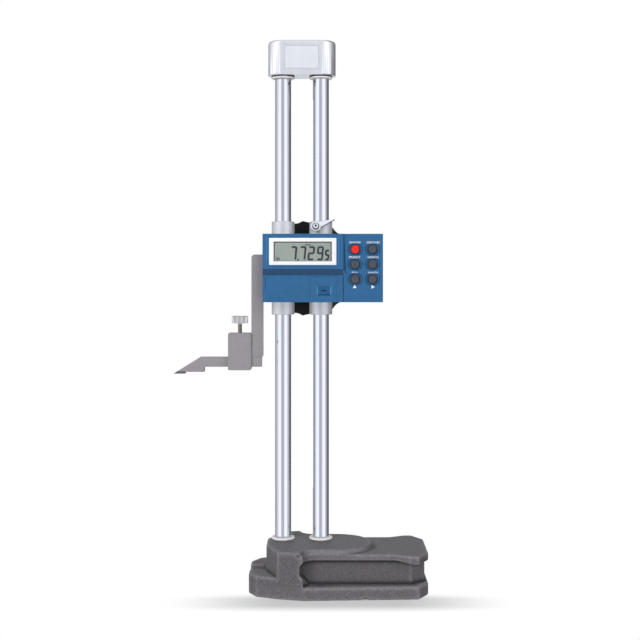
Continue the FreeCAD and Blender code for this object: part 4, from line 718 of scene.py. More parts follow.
@dataclass
class Stand:
    """The base, the columns with their rings, and the cap."""

    column_sides: int = 144
    column_rim: float = 0.6 * MM
    ring_edge: float = 0.3 * MM
    slot_half_angle: float = math.radians(17.5)
    slot_depth: float = 3.6 * MM
    casting_voxel: float = 0.77 * MM
    casting_soften: int = 15
    # Painted light on the casting: shade in hollows and the grip's pocket, highlight on edges, the
    # foot and the plateau's slope.
    painted_light_spread: int = 5
    painted_light_gain: float = 16.0
    pocket_low: float = 11.4 * MM
    pocket_high: float = 33.2 * MM
    pocket_left: float = -3.0 * MM
    pocket_depth: float = 10.0 * MM
    top_shade: tuple[float, float] = (1.1, 2.4 * MM)
    foot_shade: tuple[float, float] = (0.9, 1.2 * MM)
    end_shade: tuple[float, float] = (0.95, 6.0 * MM)
    foot_light: float = 0.16
    shoulder_end: float = 3.0 * MM
    shoulder_shade: float = -0.1
    plateau_rise: float = 3.8 * MM
    slope_fade: float = 0.6 * MM
    slope_light: float = 0.8
    facing_gain: float = 4.0
    facing_start: float = 1.0
    plate_proud: float = 0.25 * MM
    plate_sunk: float = 0.1 * MM
    plate_edge: float = 0.08 * MM
    plate_corners: tuple[tuple[float, float], ...] = ((284.2, 68.6), (319.1, 44.9))
    plate_insets: tuple[tuple[float, float], ...] = (
        (0.5 * MM, 0.0), (0.12 * MM, -0.12 * MM), (0.12 * MM, 0.10 * MM))

    def build(self) -> None:
        """Builds and dresses the whole stand."""
        self.base()
        self.column("column_left")
        self.rack_slot(self.column("column_right"))
        for node in ("lower_ring_left", "lower_ring_right", "upper_ring_left", "upper_ring_right"):
            ring = rounded_copy(node, self.ring_edge)
            if node.startswith("upper"):
                tint_faces(ring, SHADE_GREY, lambda middle, normal: 0.2 < normal.z < 0.97)
        rounded_copy("top_cap", 0.0)
        self.cap_plate()

    def base(self) -> None:
        """Softens the casting as sand casting and thick paint leave it."""
        piece = merged_copy("base_casting", tidy=False)
        apply_modifier(piece, "REMESH", mode="VOXEL", voxel_size=self.casting_voxel)
        apply_modifier(piece, "SMOOTH", factor=0.5, iterations=self.casting_soften)
        select_only(piece)
        bpy.ops.object.shade_smooth()
        piece.visible_glossy = False
        # Painted shade and painted highlight, stored per point for the paint's tone.
        self.painted_light(piece)
        enter(piece, "base_casting_dressed", "base", slot_of("base_casting"), HAMMERED_IRON,
              "base_casting")

    def painted_light(self, piece: bpy.types.Object) -> None:
        """Stores how hollow or proud each point of the casting is, as painted shade and painted
        highlight for its paint's tone, with painted shade in the grip's pocket and painted
        highlight on the foot and the plateau's front slope.

        Args:
            piece: the softened casting.
        """
        mesh = piece.data
        count = len(mesh.vertices)

        def read(items: bpy.types.bpy_prop_collection, name: str, width: int,
                 kind: type = float) -> numpy.ndarray:
            """Reads one property of every item, a row for each."""
            values = numpy.empty(len(items) * width, dtype=kind)
            items.foreach_get(name, values)
            return values.reshape(-1, width)

        place = read(mesh.vertices, "co", 3)
        normal = read(mesh.vertices, "normal", 3)
        first, second = read(mesh.edges, "vertices", 2, numpy.int64).T
        share = numpy.bincount(first, minlength=count) + numpy.bincount(second, minlength=count)

        def around(values: numpy.ndarray) -> numpy.ndarray:
            """Averages a value over the neighbours of each point."""
            return (numpy.bincount(first, values[second], count)
                    + numpy.bincount(second, values[first], count)) / share

        mean = numpy.stack([around(place[:, axis]) for axis in range(3)], axis=1)
        proud = ((place - mean) * normal).sum(axis=1) / self.casting_voxel
        for _ in range(self.painted_light_spread):
            proud = (proud + around(proud)) / 2
        # Painted shade in hollows and painted highlight on proud edges.
        painted_light = proud * self.painted_light_gain
        low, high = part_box("base_casting")
        along, across, up = place.T
        # Painted shade in the grip's pocket: under its lip, at its foot and at its end.
        inside = numpy.clip((-low[1] - abs(across)) / self.pocket_depth, 0, 1)
        inside *= (up > self.pocket_low) & (up < self.pocket_high) & (along > self.pocket_left)
        for (shade, fall), away in ((self.top_shade, self.pocket_high - up),
                                    (self.foot_shade, up - self.pocket_low),
                                    (self.end_shade, along - self.pocket_left)):
            painted_light -= inside * shade * numpy.exp(-away / fall)
        # Painted highlight on the foot below the pocket; painted shade held back at the shoulder.
        painted_light += self.foot_light * (up < self.pocket_low)
        corner = (up > self.pocket_high) & (along < self.shoulder_end)
        painted_light[corner] = numpy.maximum(painted_light[corner], self.shoulder_shade)
        # Painted highlight on the front-facing slope up to the plateau.
        below = high[2] - up
        slope = numpy.clip(below / self.slope_fade, 0, 1)
        slope *= numpy.clip((self.plateau_rise - below) / self.slope_fade, 0, 1)
        facing = numpy.clip(-normal[:, 1] * self.facing_gain - self.facing_start, 0, 1)
        facing *= along > self.shoulder_end
        painted_light += self.slope_light * slope * facing
        layer = mesh.attributes.new(PAINTED_LIGHT, "FLOAT", "POINT")
        layer.data.foreach_set("value", numpy.clip(painted_light, -1, 1))

    def column(self, node: str) -> bpy.types.Object:
        """Turns one column as a smooth round bar.

        Args:
            node: the column's node.

        Returns:
            The column.
        """
        low, high = corners(node)
        radius = (high.y - low.y) / 2
        centre = Vector((high.x - radius, (low.y + high.y) / 2, 0.0))
        piece = turned(radius, low.z, high.z, centre, Way.UP, self.column_sides, self.column_rim)
        return enter(piece, f"{node}_dressed", "base", slot_of(node), POLISHED_STEEL, node)

    def rack_slot(self, piece: bpy.types.Object) -> None:
        """Sinks the slot for the rack into the right column's inner side.

        Args:
            piece: the right column.
        """
        low, high = corners("rack")
        column_low, column_high = corners("column_right")
        centre = (column_low + column_high) / 2
        select_only(piece)
        with editing():
            for level in (low.z, high.z):
                bpy.ops.mesh.select_all(action="SELECT")
                bpy.ops.mesh.bisect(plane_co=(0, 0, level), plane_no=(0, 0, 1))
            bpy.ops.mesh.select_all(action="DESELECT")
        for face in piece.data.polygons:
            lean = math.atan2(face.center.y - centre.y, -(face.center.x - centre.x))
            face.select = abs(lean) < self.slot_half_angle and low.z < face.center.z < high.z
        with editing():
            bpy.ops.mesh.extrude_region_move(
                TRANSFORM_OT_translate={"value": (self.slot_depth, 0, 0)})
        smooth(piece)

    def cap_plate(self) -> None:
        """Sets the bare plate on the front of the cap."""
        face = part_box("top_cap")[0][1]
        low, high = (PHOTO.place(*pixel, face) for pixel in self.plate_corners)
        low.y, high.y = face - self.plate_proud, face + self.plate_sunk
        plate = block(low, high)
        select_only(plate)
        with editing():
            bpy.ops.mesh.select_all(action="DESELECT")
        for side in plate.data.polygons:
            side.select = side.normal.y < -0.9
        with editing():
            for width, rise in self.plate_insets:
                bpy.ops.mesh.inset(thickness=width, depth=rise)
        apply_modifier(plate, "BEVEL", width=self.plate_edge, segments=2,
                       limit_method="ANGLE")
        enter(plate, "cap_plate", "base", slot_of("top_cap"), PLATE_SILVER)
        tint_faces(plate, PLATE_LINE, lambda middle, normal: normal.y > -0.98)


@dataclass
class Slider:
    """The slider's casting, its arm and the lock lever."""

    casting_edge: float = 0.35 * MM
    back_edge: float = 0.3 * MM
    arm_edge: float = 0.25 * MM
    relief_edge: float = 0.05 * MM
    lever_edge: float = 0.15 * MM
    wheel_edge: float = 0.5 * MM
    # The painted shadow round the screw head: its margin, the head's lift above it, its sides and
    # span.
    eye_gap: float = 0.25 * MM
    eye_lift: float = 0.35 * MM
    eye_sides: int = 48
    eye_span: tuple[float, float] = (-0.12 * MM, 0.05 * MM)
    eye_rim: float = 0.03 * MM
    bore_margin: float = 0.4 * MM
    blade_start: float = 1.2 * MM
    socket_share: float = 0.55
    socket_top: float = 0.1 * MM
    socket_depth: float = 3.0 * MM
    cap_span: tuple[float, float] = (-0.4 * MM, -0.1 * MM)
    cap_rim: float = 0.12 * MM
    cap_socket_depth: float = 0.15 * MM
    cap_socket: float = 1.1 * MM
    cap_socket_wall: float = 0.05 * MM
    # Corners of the strip of painted shade in the arm's relief.
    relief_low: tuple[float, float, float] = (-46.0 * MM, 4.8 * MM, 221.1 * MM)
    relief_high: tuple[float, float, float] = (-44.8 * MM, 4.98 * MM, 232.3 * MM)
    plain: tuple[str, ...] = (
        "wheel_screw", "gear_cover", "lower_bush_left", "lower_bush_right", "upper_bush_left",
        "upper_bush_right", "shaft_bush", "wheel_shaft", "housing_screws", "column_bolts")

    def build(self) -> None:
        """Builds and dresses the slider."""
        rounded_copy("slider_casting", self.casting_edge)
        self.arm()
        rounded_copy("housing_back", self.back_edge)
        self.lock()
        rounded_copy("hand_wheel", self.wheel_edge)
        for node in self.plain:
            rounded_copy(node, 0.0)

    def arm(self) -> None:
        """Dresses the scriber arm, with a strip of painted shade at the back of its relief."""
        for node, width in (("scriber_arm", self.arm_edge), ("arm_screws", 0.0)):
            rounded_copy(node, width).visible_glossy = False
        # A dark strip of painted shade at the back of the relief.
        relief_shade = block(Vector(self.relief_low), Vector(self.relief_high), self.relief_edge)
        enter(relief_shade, "arm_relief_shade", "slider", slot_of("scriber_arm"), SHADE_GREY)

    def lock(self) -> None:
        """Dresses the lock's lever and screw, and the shade in the eye and under the blade."""
        low, high = corners("lock_screw")
        axis = (low + high) / 2
        head = (high.x - low.x) / 2
        cap_radius = head - 2 * self.eye_gap
        lever = rounded_copy("lock_lever", self.lever_edge)
        screw = rounded_copy("lock_screw", 0.0)

        def shaded(middle: Vector, normal: Vector) -> bool:
            """Tells the eye's bore and the lever's lower edge."""
            out = math.hypot(middle.x - axis.x, middle.z - axis.z)
            bore = out < head + self.bore_margin and abs(normal.y) < 0.95
            return bore or (normal.z < -0.45 and out > head + self.blade_start)

        def socket(middle: Vector, normal: Vector) -> bool:
            """Tells the screw's hexagon hole."""
            out = math.hypot(middle.x - axis.x, middle.z - axis.z)
            deep = self.socket_top < middle.y - low.y < self.socket_depth
            return out < self.socket_share * head and deep

        tint_faces(lever, SHADE_GREY, shaded)
        tint_faces(screw, SHADE_GREY, socket)
        # A dark disc of painted shadow behind the screw head, showing as a crescent below it.
        front = Vector((axis.x, low.y, axis.z))
        eye_shadow = turned(head + self.eye_gap, *self.eye_span, front, Way.BACK,
                        self.eye_sides, self.eye_rim)
        enter(eye_shadow, "lock_eye_shadow", "lock_lever", slot_of("lock_screw"), SHADE_GREY)
        cap = turned(cap_radius, *self.cap_span, front + Vector((0, 0, self.eye_lift)),
                     Way.BACK, self.eye_sides, self.cap_rim)
        select_only(cap)
        for face in cap.data.polygons:
            face.select = face.normal.y < -0.99
        with editing():
            bpy.ops.mesh.inset(thickness=cap_radius - self.cap_socket, depth=0.0)
            bpy.ops.mesh.inset(thickness=self.cap_socket_wall,
                               depth=-self.cap_socket_depth)
        enter(cap, "lock_screw_cap", "lock_lever", slot_of("lock_screw"), BRIGHT_NICKEL)
        tint_faces(cap, SHADE_GREY, lambda middle, normal: math.hypot(
            middle.x - front.x, middle.z - front.z - self.eye_lift
        ) < self.cap_socket - self.cap_socket_wall)


@dataclass
class Housing:
    """The blue display housing with its bezel, digits, keys and prints."""

    face: float = -30.0 * MM
    display_rise: float = 2.0 * MM
    cover_edge: float = 0.12 * MM
    door_edge: float = 0.1 * MM
    bezel_edge: float = 0.25 * MM
    button_edge: float = 0.4 * MM
    dish_depths: tuple[float, float] = (0.05 * MM, 1.0 * MM)
    dish_floor: float = -29.2 * MM
    # Heights and ends of the painted shade on the slope below the raised display.
    band_low: float = 286.3 * MM
    band_high: float = 291.9 * MM
    band_ends: tuple[float, float] = (262.7, 343.3)
    band_lift: float = 0.03 * MM
    band_thickness: float = 0.05 * MM
    # The seam right of the raised display, whose wall takes painted shade.
    seam: float = 37.5 * MM
    seam_half: float = 0.6 * MM
    slope_start: float = 36.0 * MM
    slope_rise: float = 0.1 * MM
    slope_margin: float = 4.0 * MM
    surround: tuple[float, float] = (-32.0 * MM, 34.0 * MM)
    grip_margin: float = 3.0 * MM
    grip_rim: float = 0.1 * MM
    grip_depth: float = 0.95 * MM
    dash_depth: float = 0.99 * MM
    gap_width: float = 0.36 * MM
    # Width of the painted shadow inside the bezel, and its gap to the display.
    edge_shadow_width: float = 1.0 * MM
    edge_shadow_gap: float = 0.01 * MM
    digit_text: str = "77295"
    digit_columns: tuple[float, ...] = (293.6, 302.7, 311.3, 320.2, 327.1)
    digit_rows: tuple[float, float] = (245.6, 259.9)
    small_digit_top: float = 249.0
    digit_half: float = 2.1 * MM
    small_digit_half: float = 1.3 * MM
    point_pixel: tuple[float, float] = (298.0, 259.1)
    point_radius: float = 0.9 * MM
    bar: float = 1.8 * MM
    slant: float = 0.09
    ink_height: float = 0.05 * MM
    marks: tuple[tuple[str, float, float, float, float, float], ...] = (
        ("in", 277.9, 258.0, 3.2 * MM, 3.3 * MM, 0.1 * MM),
        ("INC", 308.2, 244.4, 1.9 * MM, 5.2 * MM, 0.05 * MM))
    labels: tuple[tuple[str, float, float, float], ...] = (
        ("ON/OFF", 354.8, 242.0, 10.5 * MM), ("ZERO/ABS", 373.0, 242.0, 11.8 * MM),
        ("PRESET", 354.5, 256.8, 10.2 * MM), ("H/DATA", 373.0, 256.8, 9.8 * MM),
        ("+/-", 354.4, 271.8, 5.4 * MM), ("mm/in", 373.0, 271.8, 8.6 * MM))
    label_height: float = 1.85 * MM
    label_stroke: float = 0.015 * MM
    arrows: tuple[tuple[float, float, float], ...] = (
        (354.6, 286.4, 0.0), (372.4, 286.3, math.pi / 2))
    arrow_radius: float = 1.95 * MM
    buttons: tuple[str, ...] = (
        "power_button", "zero_button", "preset_button", "data_button", "sign_button",
        "unit_button")

    def build(self) -> None:
        """Builds and dresses the housing."""
        self.cover()
        self.door()
        rounded_copy("lcd_bezel", self.bezel_edge)
        for node in self.buttons:
            button = rounded_copy(node, self.button_edge)
            tint_faces(button, SHADE_GREY, lambda middle, normal: normal.y > -0.8)
        self.button_gap_shade()
        self.band()
        self.edge_shadow()
        self.digits()
        self.prints()

    def button_gap_shade(self) -> None:
        """Lays a ring of painted shade in the gap round each button."""
        rings = []
        for node in self.buttons:
            low, high = corners(node)
            deselect()
            bpy.ops.mesh.primitive_torus_add(
                major_radius=(high.x - low.x) / 2 + self.gap_width * 0.75,
                minor_radius=self.gap_width / 2, major_segments=48, minor_segments=8,
                location=(0, 0, 0))
            ring = bpy.context.object
            ring.scale.z = 0.25
            ring.rotation_euler = Way.BACK.value
            ring.location = ((low.x + high.x) / 2, self.dish_floor, (low.z + high.z) / 2)
            settle(ring)
            smooth(ring)
            rings.append(ring)
        enter(join(rings), "button_gap_shade", "slider", slot_of("keypad_mat"), SHADE_GREY)

    def cover(self) -> None:
        """Dresses the front cover, with painted shade in its dishes, slots, seam and slope, and
        painted highlight on the surround's upright edges.
        """
        cover = rounded_copy("front_cover", self.cover_edge)
        slope_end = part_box("power_button")[0][0] - self.slope_margin
        left, right = self.surround
        dish_front, dish_back = (self.face + depth for depth in self.dish_depths)

        def in_dish(middle: Vector) -> bool:
            """Tells whether a face lies within the depth of the dishes."""
            return dish_front < middle.y < dish_back

        def sunk(middle: Vector, normal: Vector) -> bool:
            """Tells a wall of a dish, slot or seam."""
            seam = abs(middle.x - self.seam) < self.seam_half and middle.z < self.band_low
            return in_dish(middle) and (seam or abs(normal.y) < 0.5)

        def rim(middle: Vector, normal: Vector) -> bool:
            """Tells the softened rim of a dish."""
            return in_dish(middle) and 0.5 <= abs(normal.y) < 0.9

        def sloped(middle: Vector, normal: Vector) -> bool:
            """Tells the slope to the right of the raised display."""
            raised = middle.y < self.face - self.slope_rise and normal.x > 0.3
            return raised and self.slope_start < middle.x < slope_end

        def ridge(middle: Vector, normal: Vector) -> bool:
            """Tells the upright edges of the display's surround."""
            return (middle.y < self.face - self.display_rise and abs(normal.x) > 0.3
                    and left < middle.x < right)

        # Painted shade on the dish rims, the walls of dishes, slots and seam, and the slope right
        # of the display; painted highlight on the surround's upright edges.
        tint_faces(cover, PAINTED_SHADE_BLUE, rim)
        tint_faces(cover, DEEP_SHADE_BLUE, sunk)
        tint_faces(cover, PAINTED_SHADE_BLUE, sloped)
        tint_faces(cover, PAINTED_HIGHLIGHT_BLUE, ridge)

    def door(self) -> None:
        """Dresses the battery cover, with painted highlight on its grip's sides and painted shade
        on the grip's dash.
        """
        door = rounded_copy("battery_cover", self.door_edge)
        low, high = corners("battery_cover")

        def in_grip(middle: Vector, depth: float) -> bool:
            """Tells whether a face of the grip lies deeper than given."""
            inner = low.x + self.grip_margin < middle.x < high.x - self.grip_margin
            return inner and middle.y > low.y + depth

        def grip_side(middle: Vector, normal: Vector) -> bool:
            """Tells the grip's two sloped sides."""
            return in_grip(middle, self.grip_rim) and abs(normal.x) > 0.4 and abs(normal.y) > 0.3

        def grip_floor(middle: Vector, normal: Vector) -> bool:
            """Tells the grip's floor."""
            return in_grip(middle, self.grip_depth) and normal.y < -0.9

        def grip_dash(middle: Vector, normal: Vector) -> bool:
            """Tells the dash on the grip's floor and the slope below the floor."""
            sunk = in_grip(middle, self.grip_rim) and middle.y < low.y + self.dash_depth
            return sunk and abs(normal.x) < 0.4 and (normal.z > 0.2 or normal.y < -0.9)

        # Painted highlight on the grip's sides, a darker blue floor, and painted shade on the dash
        # and the slope below the floor.
        tint_faces(door, PAINTED_HIGHLIGHT_BLUE, grip_side)
        tint_faces(door, GRIP_BLUE, grip_floor)
        tint_faces(door, DEEP_SHADE_BLUE, grip_dash)

    def edge_shadow(self) -> None:
        """Lays a thin painted shadow round the display, inside the bezel."""
        low, high = corners("lcd_panel")
        front, back = low.y - self.ink_height, low.y - self.edge_shadow_gap
        wide = self.edge_shadow_width
        strips = [block(Vector((left, front, foot)), Vector((right, back, top)))
                  for left, foot, right, top in (
                      (low.x, high.z - wide, high.x, high.z),
                      (low.x, low.z, low.x + wide, high.z - wide),
                      (high.x - wide, low.z, high.x, high.z - wide),
                      (low.x + wide, low.z, high.x - wide, low.z + wide / 3))]
        enter(join(strips), "display_edge_shadow", "slider", slot_of("contact_strip_lower"),
              DISPLAY_SHADE)

    def band(self) -> None:
        """Lays painted shade on the slope below the raised display."""
        level = corners("front_cover")[0].y
        left, right = (PHOTO.place(column, 0, level).x for column in self.band_ends)
        deselect()
        bpy.ops.mesh.primitive_plane_add(size=1.0, location=((left + right) / 2, 0, 0))
        piece = bpy.context.object
        piece.scale = (right - left, 1.0, 1.0)
        settle(piece)
        for vertex in piece.data.vertices:
            high = vertex.co.y > 0
            vertex.co.z = self.band_high if high else self.band_low
            level = self.face - self.display_rise if high else self.face
            vertex.co.y = level - self.band_lift
        apply_modifier(piece, "SOLIDIFY", thickness=self.band_thickness, offset=0.0)
        enter(piece, "housing_slope_shade", "slider", slot_of("front_cover"), PAINTED_SHADE_BLUE)

    def digit_bar(self, length: float, flat: bool, centre: Vector) -> bpy.types.Object:
        """Makes one bar of a digit with pointed ends.

        Args:
            length: end to end.
            flat: whether it lies across instead of standing.
            centre: its middle.

        Returns:
            The bar.
        """
        deselect()
        bpy.ops.mesh.primitive_cylinder_add(
            vertices=6, radius=self.bar / math.sqrt(3), depth=self.ink_height,
            location=(0, 0, 0))
        piece = bpy.context.object
        reach = max(0.0, length / 2 - self.bar / math.sqrt(3))
        for vertex in piece.data.vertices:
            vertex.co.y += math.copysign(reach, vertex.co.y)
        piece.rotation_euler = (math.pi / 2, math.pi / 2 if flat else 0.0, 0.0)
        piece.location = centre
        settle(piece)
        return piece

    def digit(self, sign: str, half_width: float, top: Vector,
              low: Vector) -> list[bpy.types.Object]:
        """Makes the bars of one digit.

        Args:
            sign: the figure.
            half_width: from its middle to the middle of an upright bar.
            top: the middle of its top.
            low: a point as high as its foot.

        Returns:
            The bars.
        """
        half_height = (top.z - low.z - self.bar) / 2
        centre = Vector((top.x, top.y, (top.z + low.z) / 2))
        bars = []
        for segment in DIGITS[sign]:
            across, up, flat = segment.value
            length = 2 * half_width + 0.3 * self.bar if flat else half_height + 0.35 * self.bar
            lean = up * half_height * self.slant
            place = centre + Vector((across * half_width + lean, 0, up * half_height))
            bar = self.digit_bar(length, flat, place)
            if not flat:
                for vertex in bar.data.vertices:
                    vertex.co.x += (vertex.co.z - place.z) * self.slant
            bars.append(bar)
        return bars

    def digits(self) -> None:
        """Sets the reading and the small marks behind the window."""
        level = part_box("lcd_panel")[0][1] - self.ink_height / 2
        bars = []
        for sign, column in zip(self.digit_text, self.digit_columns):
            small = column == self.digit_columns[-1]
            top = PHOTO.place(column, self.small_digit_top if small else self.digit_rows[0],
                              level)
            low = PHOTO.place(column, self.digit_rows[1], level)
            bars += self.digit(sign, self.small_digit_half if small else self.digit_half, top,
                               low)
        bars.append(turned(self.point_radius, -self.ink_height / 2, self.ink_height / 2,
                           PHOTO.place(*self.point_pixel, level), Way.BACK, 12))
        enter(join(bars), "display_digits", "slider", slot_of("lcd_panel"), DISPLAY_INK)
        words = [self.lettering(text, PHOTO.place(column, row, level), height, width, stroke)
                 for text, column, row, height, width, stroke in self.marks]
        enter(join(words), "display_marks", "slider", slot_of("lcd_panel"), DISPLAY_INK)

    def lettering(self, text: str, centre: Vector, height: float, width: float,
                  stroke: float) -> bpy.types.Object:
        """Writes a generic word that faces the front.

        Args:
            text: the word.
            centre: its middle.
            height: height of its capitals.
            width: the word's length.
            stroke: how much the letters are thickened.

        Returns:
            The word as a mesh.
        """
        deselect()
        bpy.ops.object.text_add(location=centre, rotation=Way.BACK.value)
        curve = bpy.context.object.data
        curve.body = text
        curve.align_x = curve.align_y = "CENTER"
        curve.size = height / CAPITAL_SHARE
        curve.extrude = self.ink_height / 2
        curve.offset = stroke
        curve.resolution_u = 3
        select_only(bpy.context.object)
        bpy.ops.object.convert(target="MESH")
        piece = bpy.context.object
        piece.scale.x = width / piece.dimensions.x
        settle(piece)
        return piece

    def prints(self) -> None:
        """Prints the key names and arrows on the keypad."""
        level = self.face - self.ink_height / 2
        words = [self.lettering(text, PHOTO.place(column, row, level), self.label_height, width,
                                self.label_stroke)
                 for text, column, row, width in self.labels]
        for column, row, lean in self.arrows:
            deselect()
            bpy.ops.mesh.primitive_cylinder_add(
                vertices=3, radius=self.arrow_radius, depth=self.ink_height,
                location=PHOTO.place(column, row, level), rotation=(math.pi / 2, lean, 0))
            words.append(bpy.context.object)
            settle(words[-1])
        enter(join(words), "keypad_prints", "slider", slot_of("lcd_bezel"), PRINT_WHITE)


@dataclass
class ScriberClamp:
    """The clamp box, its thumb screw, and the scriber with its tip."""

    clamp_edge: float = 0.3 * MM
    scriber_edge: float = 0.2 * MM
    ribs: int = 60
    rib_height: float = 0.28 * MM
    rib_inset: float = 0.07 * MM
    head_height: float = 5.8 * MM
    head_edge: float = 0.1 * MM
    head_degrees: float = 60.0
    top_insets: tuple[tuple[float, float], ...] = ((0.9 * MM, 0.0), (0.3 * MM, -0.3 * MM))
    collar_radius: float = 3.7 * MM
    collar_height: float = 0.8 * MM
    collar_rim: float = 0.2 * MM
    collar_sides: int = 40
    thread_gap: float = 0.1 * MM
    stem_radius: float = 2.0 * MM
    stem_sides: int = 28
    thread_pitch: float = 0.7 * MM
    thread_root: float = 0.84

    def build(self) -> None:
        """Builds and dresses the clamp and the scriber."""
        rounded_copy("scriber_clamp", self.clamp_edge).visible_glossy = False
        rounded_copy("scriber", self.scriber_edge).visible_glossy = False
        rounded_copy("carbide_tip", 0.0)
        self.thumb_screw()

    def thumb_screw(self) -> None:
        """Makes the ribbed head and the threaded stem of the clamp's screw."""
        low, high = corners("clamp_screw")
        centre = Vector(((low.x + high.x) / 2, (low.y + high.y) / 2, 0.0))
        radius = (high.x - low.x) / 2 - self.rib_height
        head_low = high.z - self.head_height
        collar_low = head_low - self.collar_height
        head = turned(radius, head_low, high.z, centre, Way.UP, self.ribs * 2)
        select_only(head)
        for face in head.data.polygons:
            turn = math.atan2(face.center.y - centre.y, face.center.x - centre.x)
            step = round(turn / (2 * math.pi) * self.ribs * 2 - 0.5)
            face.select = abs(face.normal.z) < 0.5 and step % 2 == 0
        with editing():
            bpy.ops.mesh.select_mode(type="FACE")
            bpy.ops.mesh.inset(thickness=self.rib_inset, depth=self.rib_height,
                               use_individual=True)
            bpy.ops.mesh.select_all(action="DESELECT")
        for face in head.data.polygons:
            face.select = face.normal.z > 0.9
        with editing():
            for width, rise in self.top_insets:
                bpy.ops.mesh.inset(thickness=width, depth=rise)
        round_edges(head, self.head_edge, 1, math.radians(self.head_degrees))
        collar = turned(self.collar_radius, collar_low, head_low, centre, Way.UP,
                        self.collar_sides, self.collar_rim)
        screw = join([head, collar, self.thread(centre, low.z, collar_low)])
        smooth(screw, 35)
        enter(screw, "clamp_screw_dressed", "clamp_screw", slot_of("clamp_screw"), NICKEL,
              "clamp_screw")
        tint_faces(screw, THREAD_STEEL,
                   lambda middle, normal: middle.z < collar_low - self.thread_gap)
        screw.visible_glossy = False

    def thread(self, centre: Vector, low: float, high: float) -> bpy.types.Object:
        """Makes a stem with a fine thread.

        Args:
            centre: a point of its axis.
            low: lower end.
            high: upper end.

        Returns:
            The stem.
        """
        half_pitch = self.thread_pitch / 2
        stem = turned(self.stem_radius, low, high, centre, Way.UP, self.stem_sides)
        select_only(stem)
        with editing():
            for level in range(1, 2 * int((high - low) / self.thread_pitch)):
                bpy.ops.mesh.select_all(action="SELECT")
                bpy.ops.mesh.bisect(plane_co=(0, 0, low + level * half_pitch),
                                    plane_no=(0, 0, 1))
        for vertex in stem.data.vertices:
            if round((vertex.co.z - low) / half_pitch) % 2 == 1:
                vertex.co.x = centre.x + (vertex.co.x - centre.x) * self.thread_root
                vertex.co.y = centre.y + (vertex.co.y - centre.y) * self.thread_root
        return stem


@dataclass
class Lamp:
    """One soft area lamp."""

    name: str
    place: tuple[float, float, float]
    size: float
    power: float

    def build(self, aim: Vector) -> None:
        """Adds the lamp.

        Args:
            aim: the point that it shines at.
        """
        data = bpy.data.lights.new(self.name, "AREA")
        data.shape = "SQUARE"
        data.size = self.size
        data.energy = self.power
        lamp = bpy.data.objects.new(self.name, data)
        bpy.context.scene.collection.objects.link(lamp)
        lamp.location = self.place
        lamp.visible_glossy = False
        lamp.rotation_euler = (aim - lamp.location).to_track_quat("-Z", "Y").to_euler()


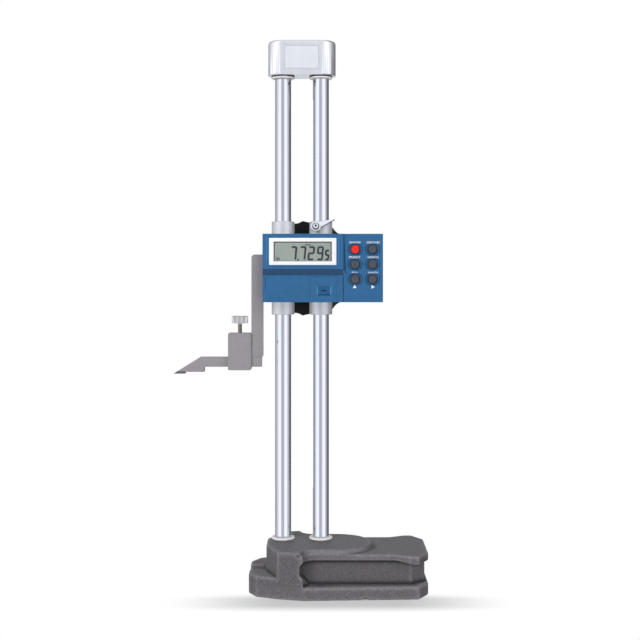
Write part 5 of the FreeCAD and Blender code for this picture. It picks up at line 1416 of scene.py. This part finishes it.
@dataclass
class Studio:
    """The camera, the lamps, the floor and the pale surroundings."""

    lens: float = 62.03
    sensor: float = 36.0
    shift: float = -44.4 / 640.0
    floor_size: float = 8.0
    # The floor's dim colour and its least share of white glow, next to the base, where the painted
    # shadow lies.
    floor_tone: float = 0.72
    floor_lift: float = 0.22
    shadow_front: float = -0.055
    shadow_back: float = -0.042
    shadow_inset: float = 0.035
    shadow_reach: tuple[float, float] = (0.115, 0.025)
    aim: tuple[float, float, float] = (0.0, 0.0, 0.25)
    lamps: tuple[Lamp, ...] = (
        Lamp("key_left", (-0.9, -1.3, 0.78), 0.7, 17.0),
        Lamp("key_right", (1.3, -0.9, 0.7), 0.9, 9.0),
        Lamp("top", (-0.2, 0.0, 1.6), 1.0, 1.2))
    fill_light: float = 0.28
    mirrored_light: float = 1.4
    mirrored_tones: tuple[tuple[float, float], ...] = (
        (0.0, 0.44), (0.06, 0.43), (0.085, 0.96), (0.165, 0.96), (0.185, 0.86), (0.231, 0.64),
        (0.29, 0.49), (0.365, 0.3), (0.43, 0.18), (0.5, 0.64), (0.57, 0.14), (0.62, 0.1),
        (0.69, 0.11), (0.753, 0.33), (0.804, 0.56), (0.846, 0.96), (0.935, 0.96),
        (0.955, 0.54), (1.0, 0.44))

    def build(self) -> None:
        """Builds the whole studio."""
        self.camera()
        for lamp in self.lamps:
            lamp.build(Vector(self.aim))
        self.floor()
        self.surroundings()
        bpy.context.scene.view_settings.view_transform = "Standard"

    def camera(self) -> None:
        """Sets the camera level at the photograph's height and distance."""
        data = bpy.data.cameras.new("camera")
        data.lens = self.lens
        data.sensor_width = self.sensor
        data.shift_y = self.shift
        data.clip_end = 50.0
        camera = bpy.data.objects.new("camera", data)
        bpy.context.scene.collection.objects.link(camera)
        camera.location = (PHOTO.camera_across, PHOTO.camera_back, PHOTO.camera_up)
        camera.rotation_euler = (math.pi / 2, 0.0, 0.0)
        bpy.context.scene.camera = camera

    def floor(self) -> None:
        """Lays the pale floor, which keeps the gauge's shadow and has a painted shadow round the
        base.
        """
        deselect()
        bpy.ops.mesh.primitive_plane_add(size=self.floor_size, location=(0, 0, 0))
        floor = bpy.context.object
        floor.name = "floor"
        material, shader = new_material("pale_floor")
        tree = material.node_tree
        set_inputs(shader, {"Base Color": (*[self.floor_tone] * 3, 1.0), "Roughness": 0.9,
                            "Specular IOR Level": 0.0})
        # Painted shadow: round the base's footprint the floor shows mostly its dim colour and
        # little white glow.
        low, high = corners("base_casting")
        middle = ((low.x + high.x) / 2, (self.shadow_front + self.shadow_back) / 2, 0.0)
        half = ((high.x - low.x) / 2 - self.shadow_inset,
                (self.shadow_back - self.shadow_front) / 2, 0.0)
        away = add_node(tree, "TexCoord").outputs["Object"]
        for operation, amount in (
                ("SUBTRACT", middle), ("ABSOLUTE", None), ("SUBTRACT", half),
                ("MAXIMUM", (0.0, 0.0, 0.0)), ("DIVIDE", (*self.shadow_reach, 1.0))):
            step = add_node(tree, "VectorMath", {0: away}, operation=operation)
            if amount:
                set_inputs(step, {1: amount})
            away = step.outputs["Vector"]
        reach = add_node(tree, "VectorMath", {0: away}, operation="LENGTH")
        fade = add_node(tree, "MapRange", {
            "Value": reach.outputs["Value"], "To Min": self.floor_lift},
            interpolation_type="SMOOTHSTEP")
        seen = add_node(tree, "Math", {
            0: add_node(tree, "LightPath").outputs["Is Camera Ray"],
            1: fade.outputs["Result"]}, operation="MULTIPLY")
        mix = add_node(tree, "MixShader", {
            "Fac": seen.outputs["Value"], 1: shader.outputs["BSDF"],
            2: add_node(tree, "Emission", {"Strength": 1.0}).outputs["Emission"]})
        set_inputs(tree.nodes["Material Output"], {"Surface": mix.outputs["Shader"]})
        floor.data.materials.append(material)
        floor.visible_glossy = False

    def surroundings(self) -> None:
        """Sets a white background, soft fill light, and a studio that bright metal mirrors."""
        world = bpy.data.worlds.new("studio")
        bpy.context.scene.world = world
        world.use_nodes = True
        tree = world.node_tree
        fill = tree.nodes["Background"]
        set_inputs(fill, {"Color": (0.95, 0.97, 1.0, 1.0), "Strength": self.fill_light})
        white = add_node(tree, "Background", {"Color": (1.0, 1.0, 1.0, 1.0)})
        where = add_node(tree, "TexCoord").outputs["Generated"]
        parts = add_node(tree, "SeparateXYZ", {"Vector": where}).outputs
        angle = add_node(tree, "Math", {0: parts["X"], 1: parts["Y"]}, operation="ARCTAN2")
        turn = add_node(tree, "MapRange", {
            "Value": angle.outputs["Value"], "From Min": -math.pi, "From Max": math.pi})
        ramp = add_node(tree, "ValToRGB", {"Fac": turn.outputs["Result"]})
        elements = ramp.color_ramp.elements
        while len(elements) < len(self.mirrored_tones):
            elements.new(0.5)
        for element, (place, tone) in zip(elements, self.mirrored_tones):
            element.position = place
            element.color = (tone, tone * 1.01, tone * 1.05, 1.0)
        mirrored = add_node(tree, "Background", {
            "Color": ramp.outputs["Color"], "Strength": self.mirrored_light})
        rays = add_node(tree, "LightPath").outputs
        for_metal = add_node(tree, "MixShader", {
            "Fac": rays["Is Glossy Ray"], 1: fill.outputs["Background"],
            2: mirrored.outputs["Background"]})
        seen = add_node(tree, "Math", {
            0: rays["Is Camera Ray"], 1: rays["Is Transmission Ray"]}, operation="MAXIMUM")
        for_eye = add_node(tree, "MixShader", {
            "Fac": seen.outputs["Value"], 1: for_metal.outputs["Shader"],
            2: white.outputs["Background"]})
        set_inputs(tree.nodes["World Output"], {"Surface": for_eye.outputs["Shader"]})


def main() -> None:
    """Builds the studio and every sub-assembly in order."""
    logging.basicConfig(level=logging.INFO)
    Studio().build()
    for node, finish in NODE_FINISHES.items():
        dress(frame["nodes"][node], finish)
    Stand().build()
    Slider().build()
    Housing().build()
    ScriberClamp().build()


if __name__ == "__main__":
    main()
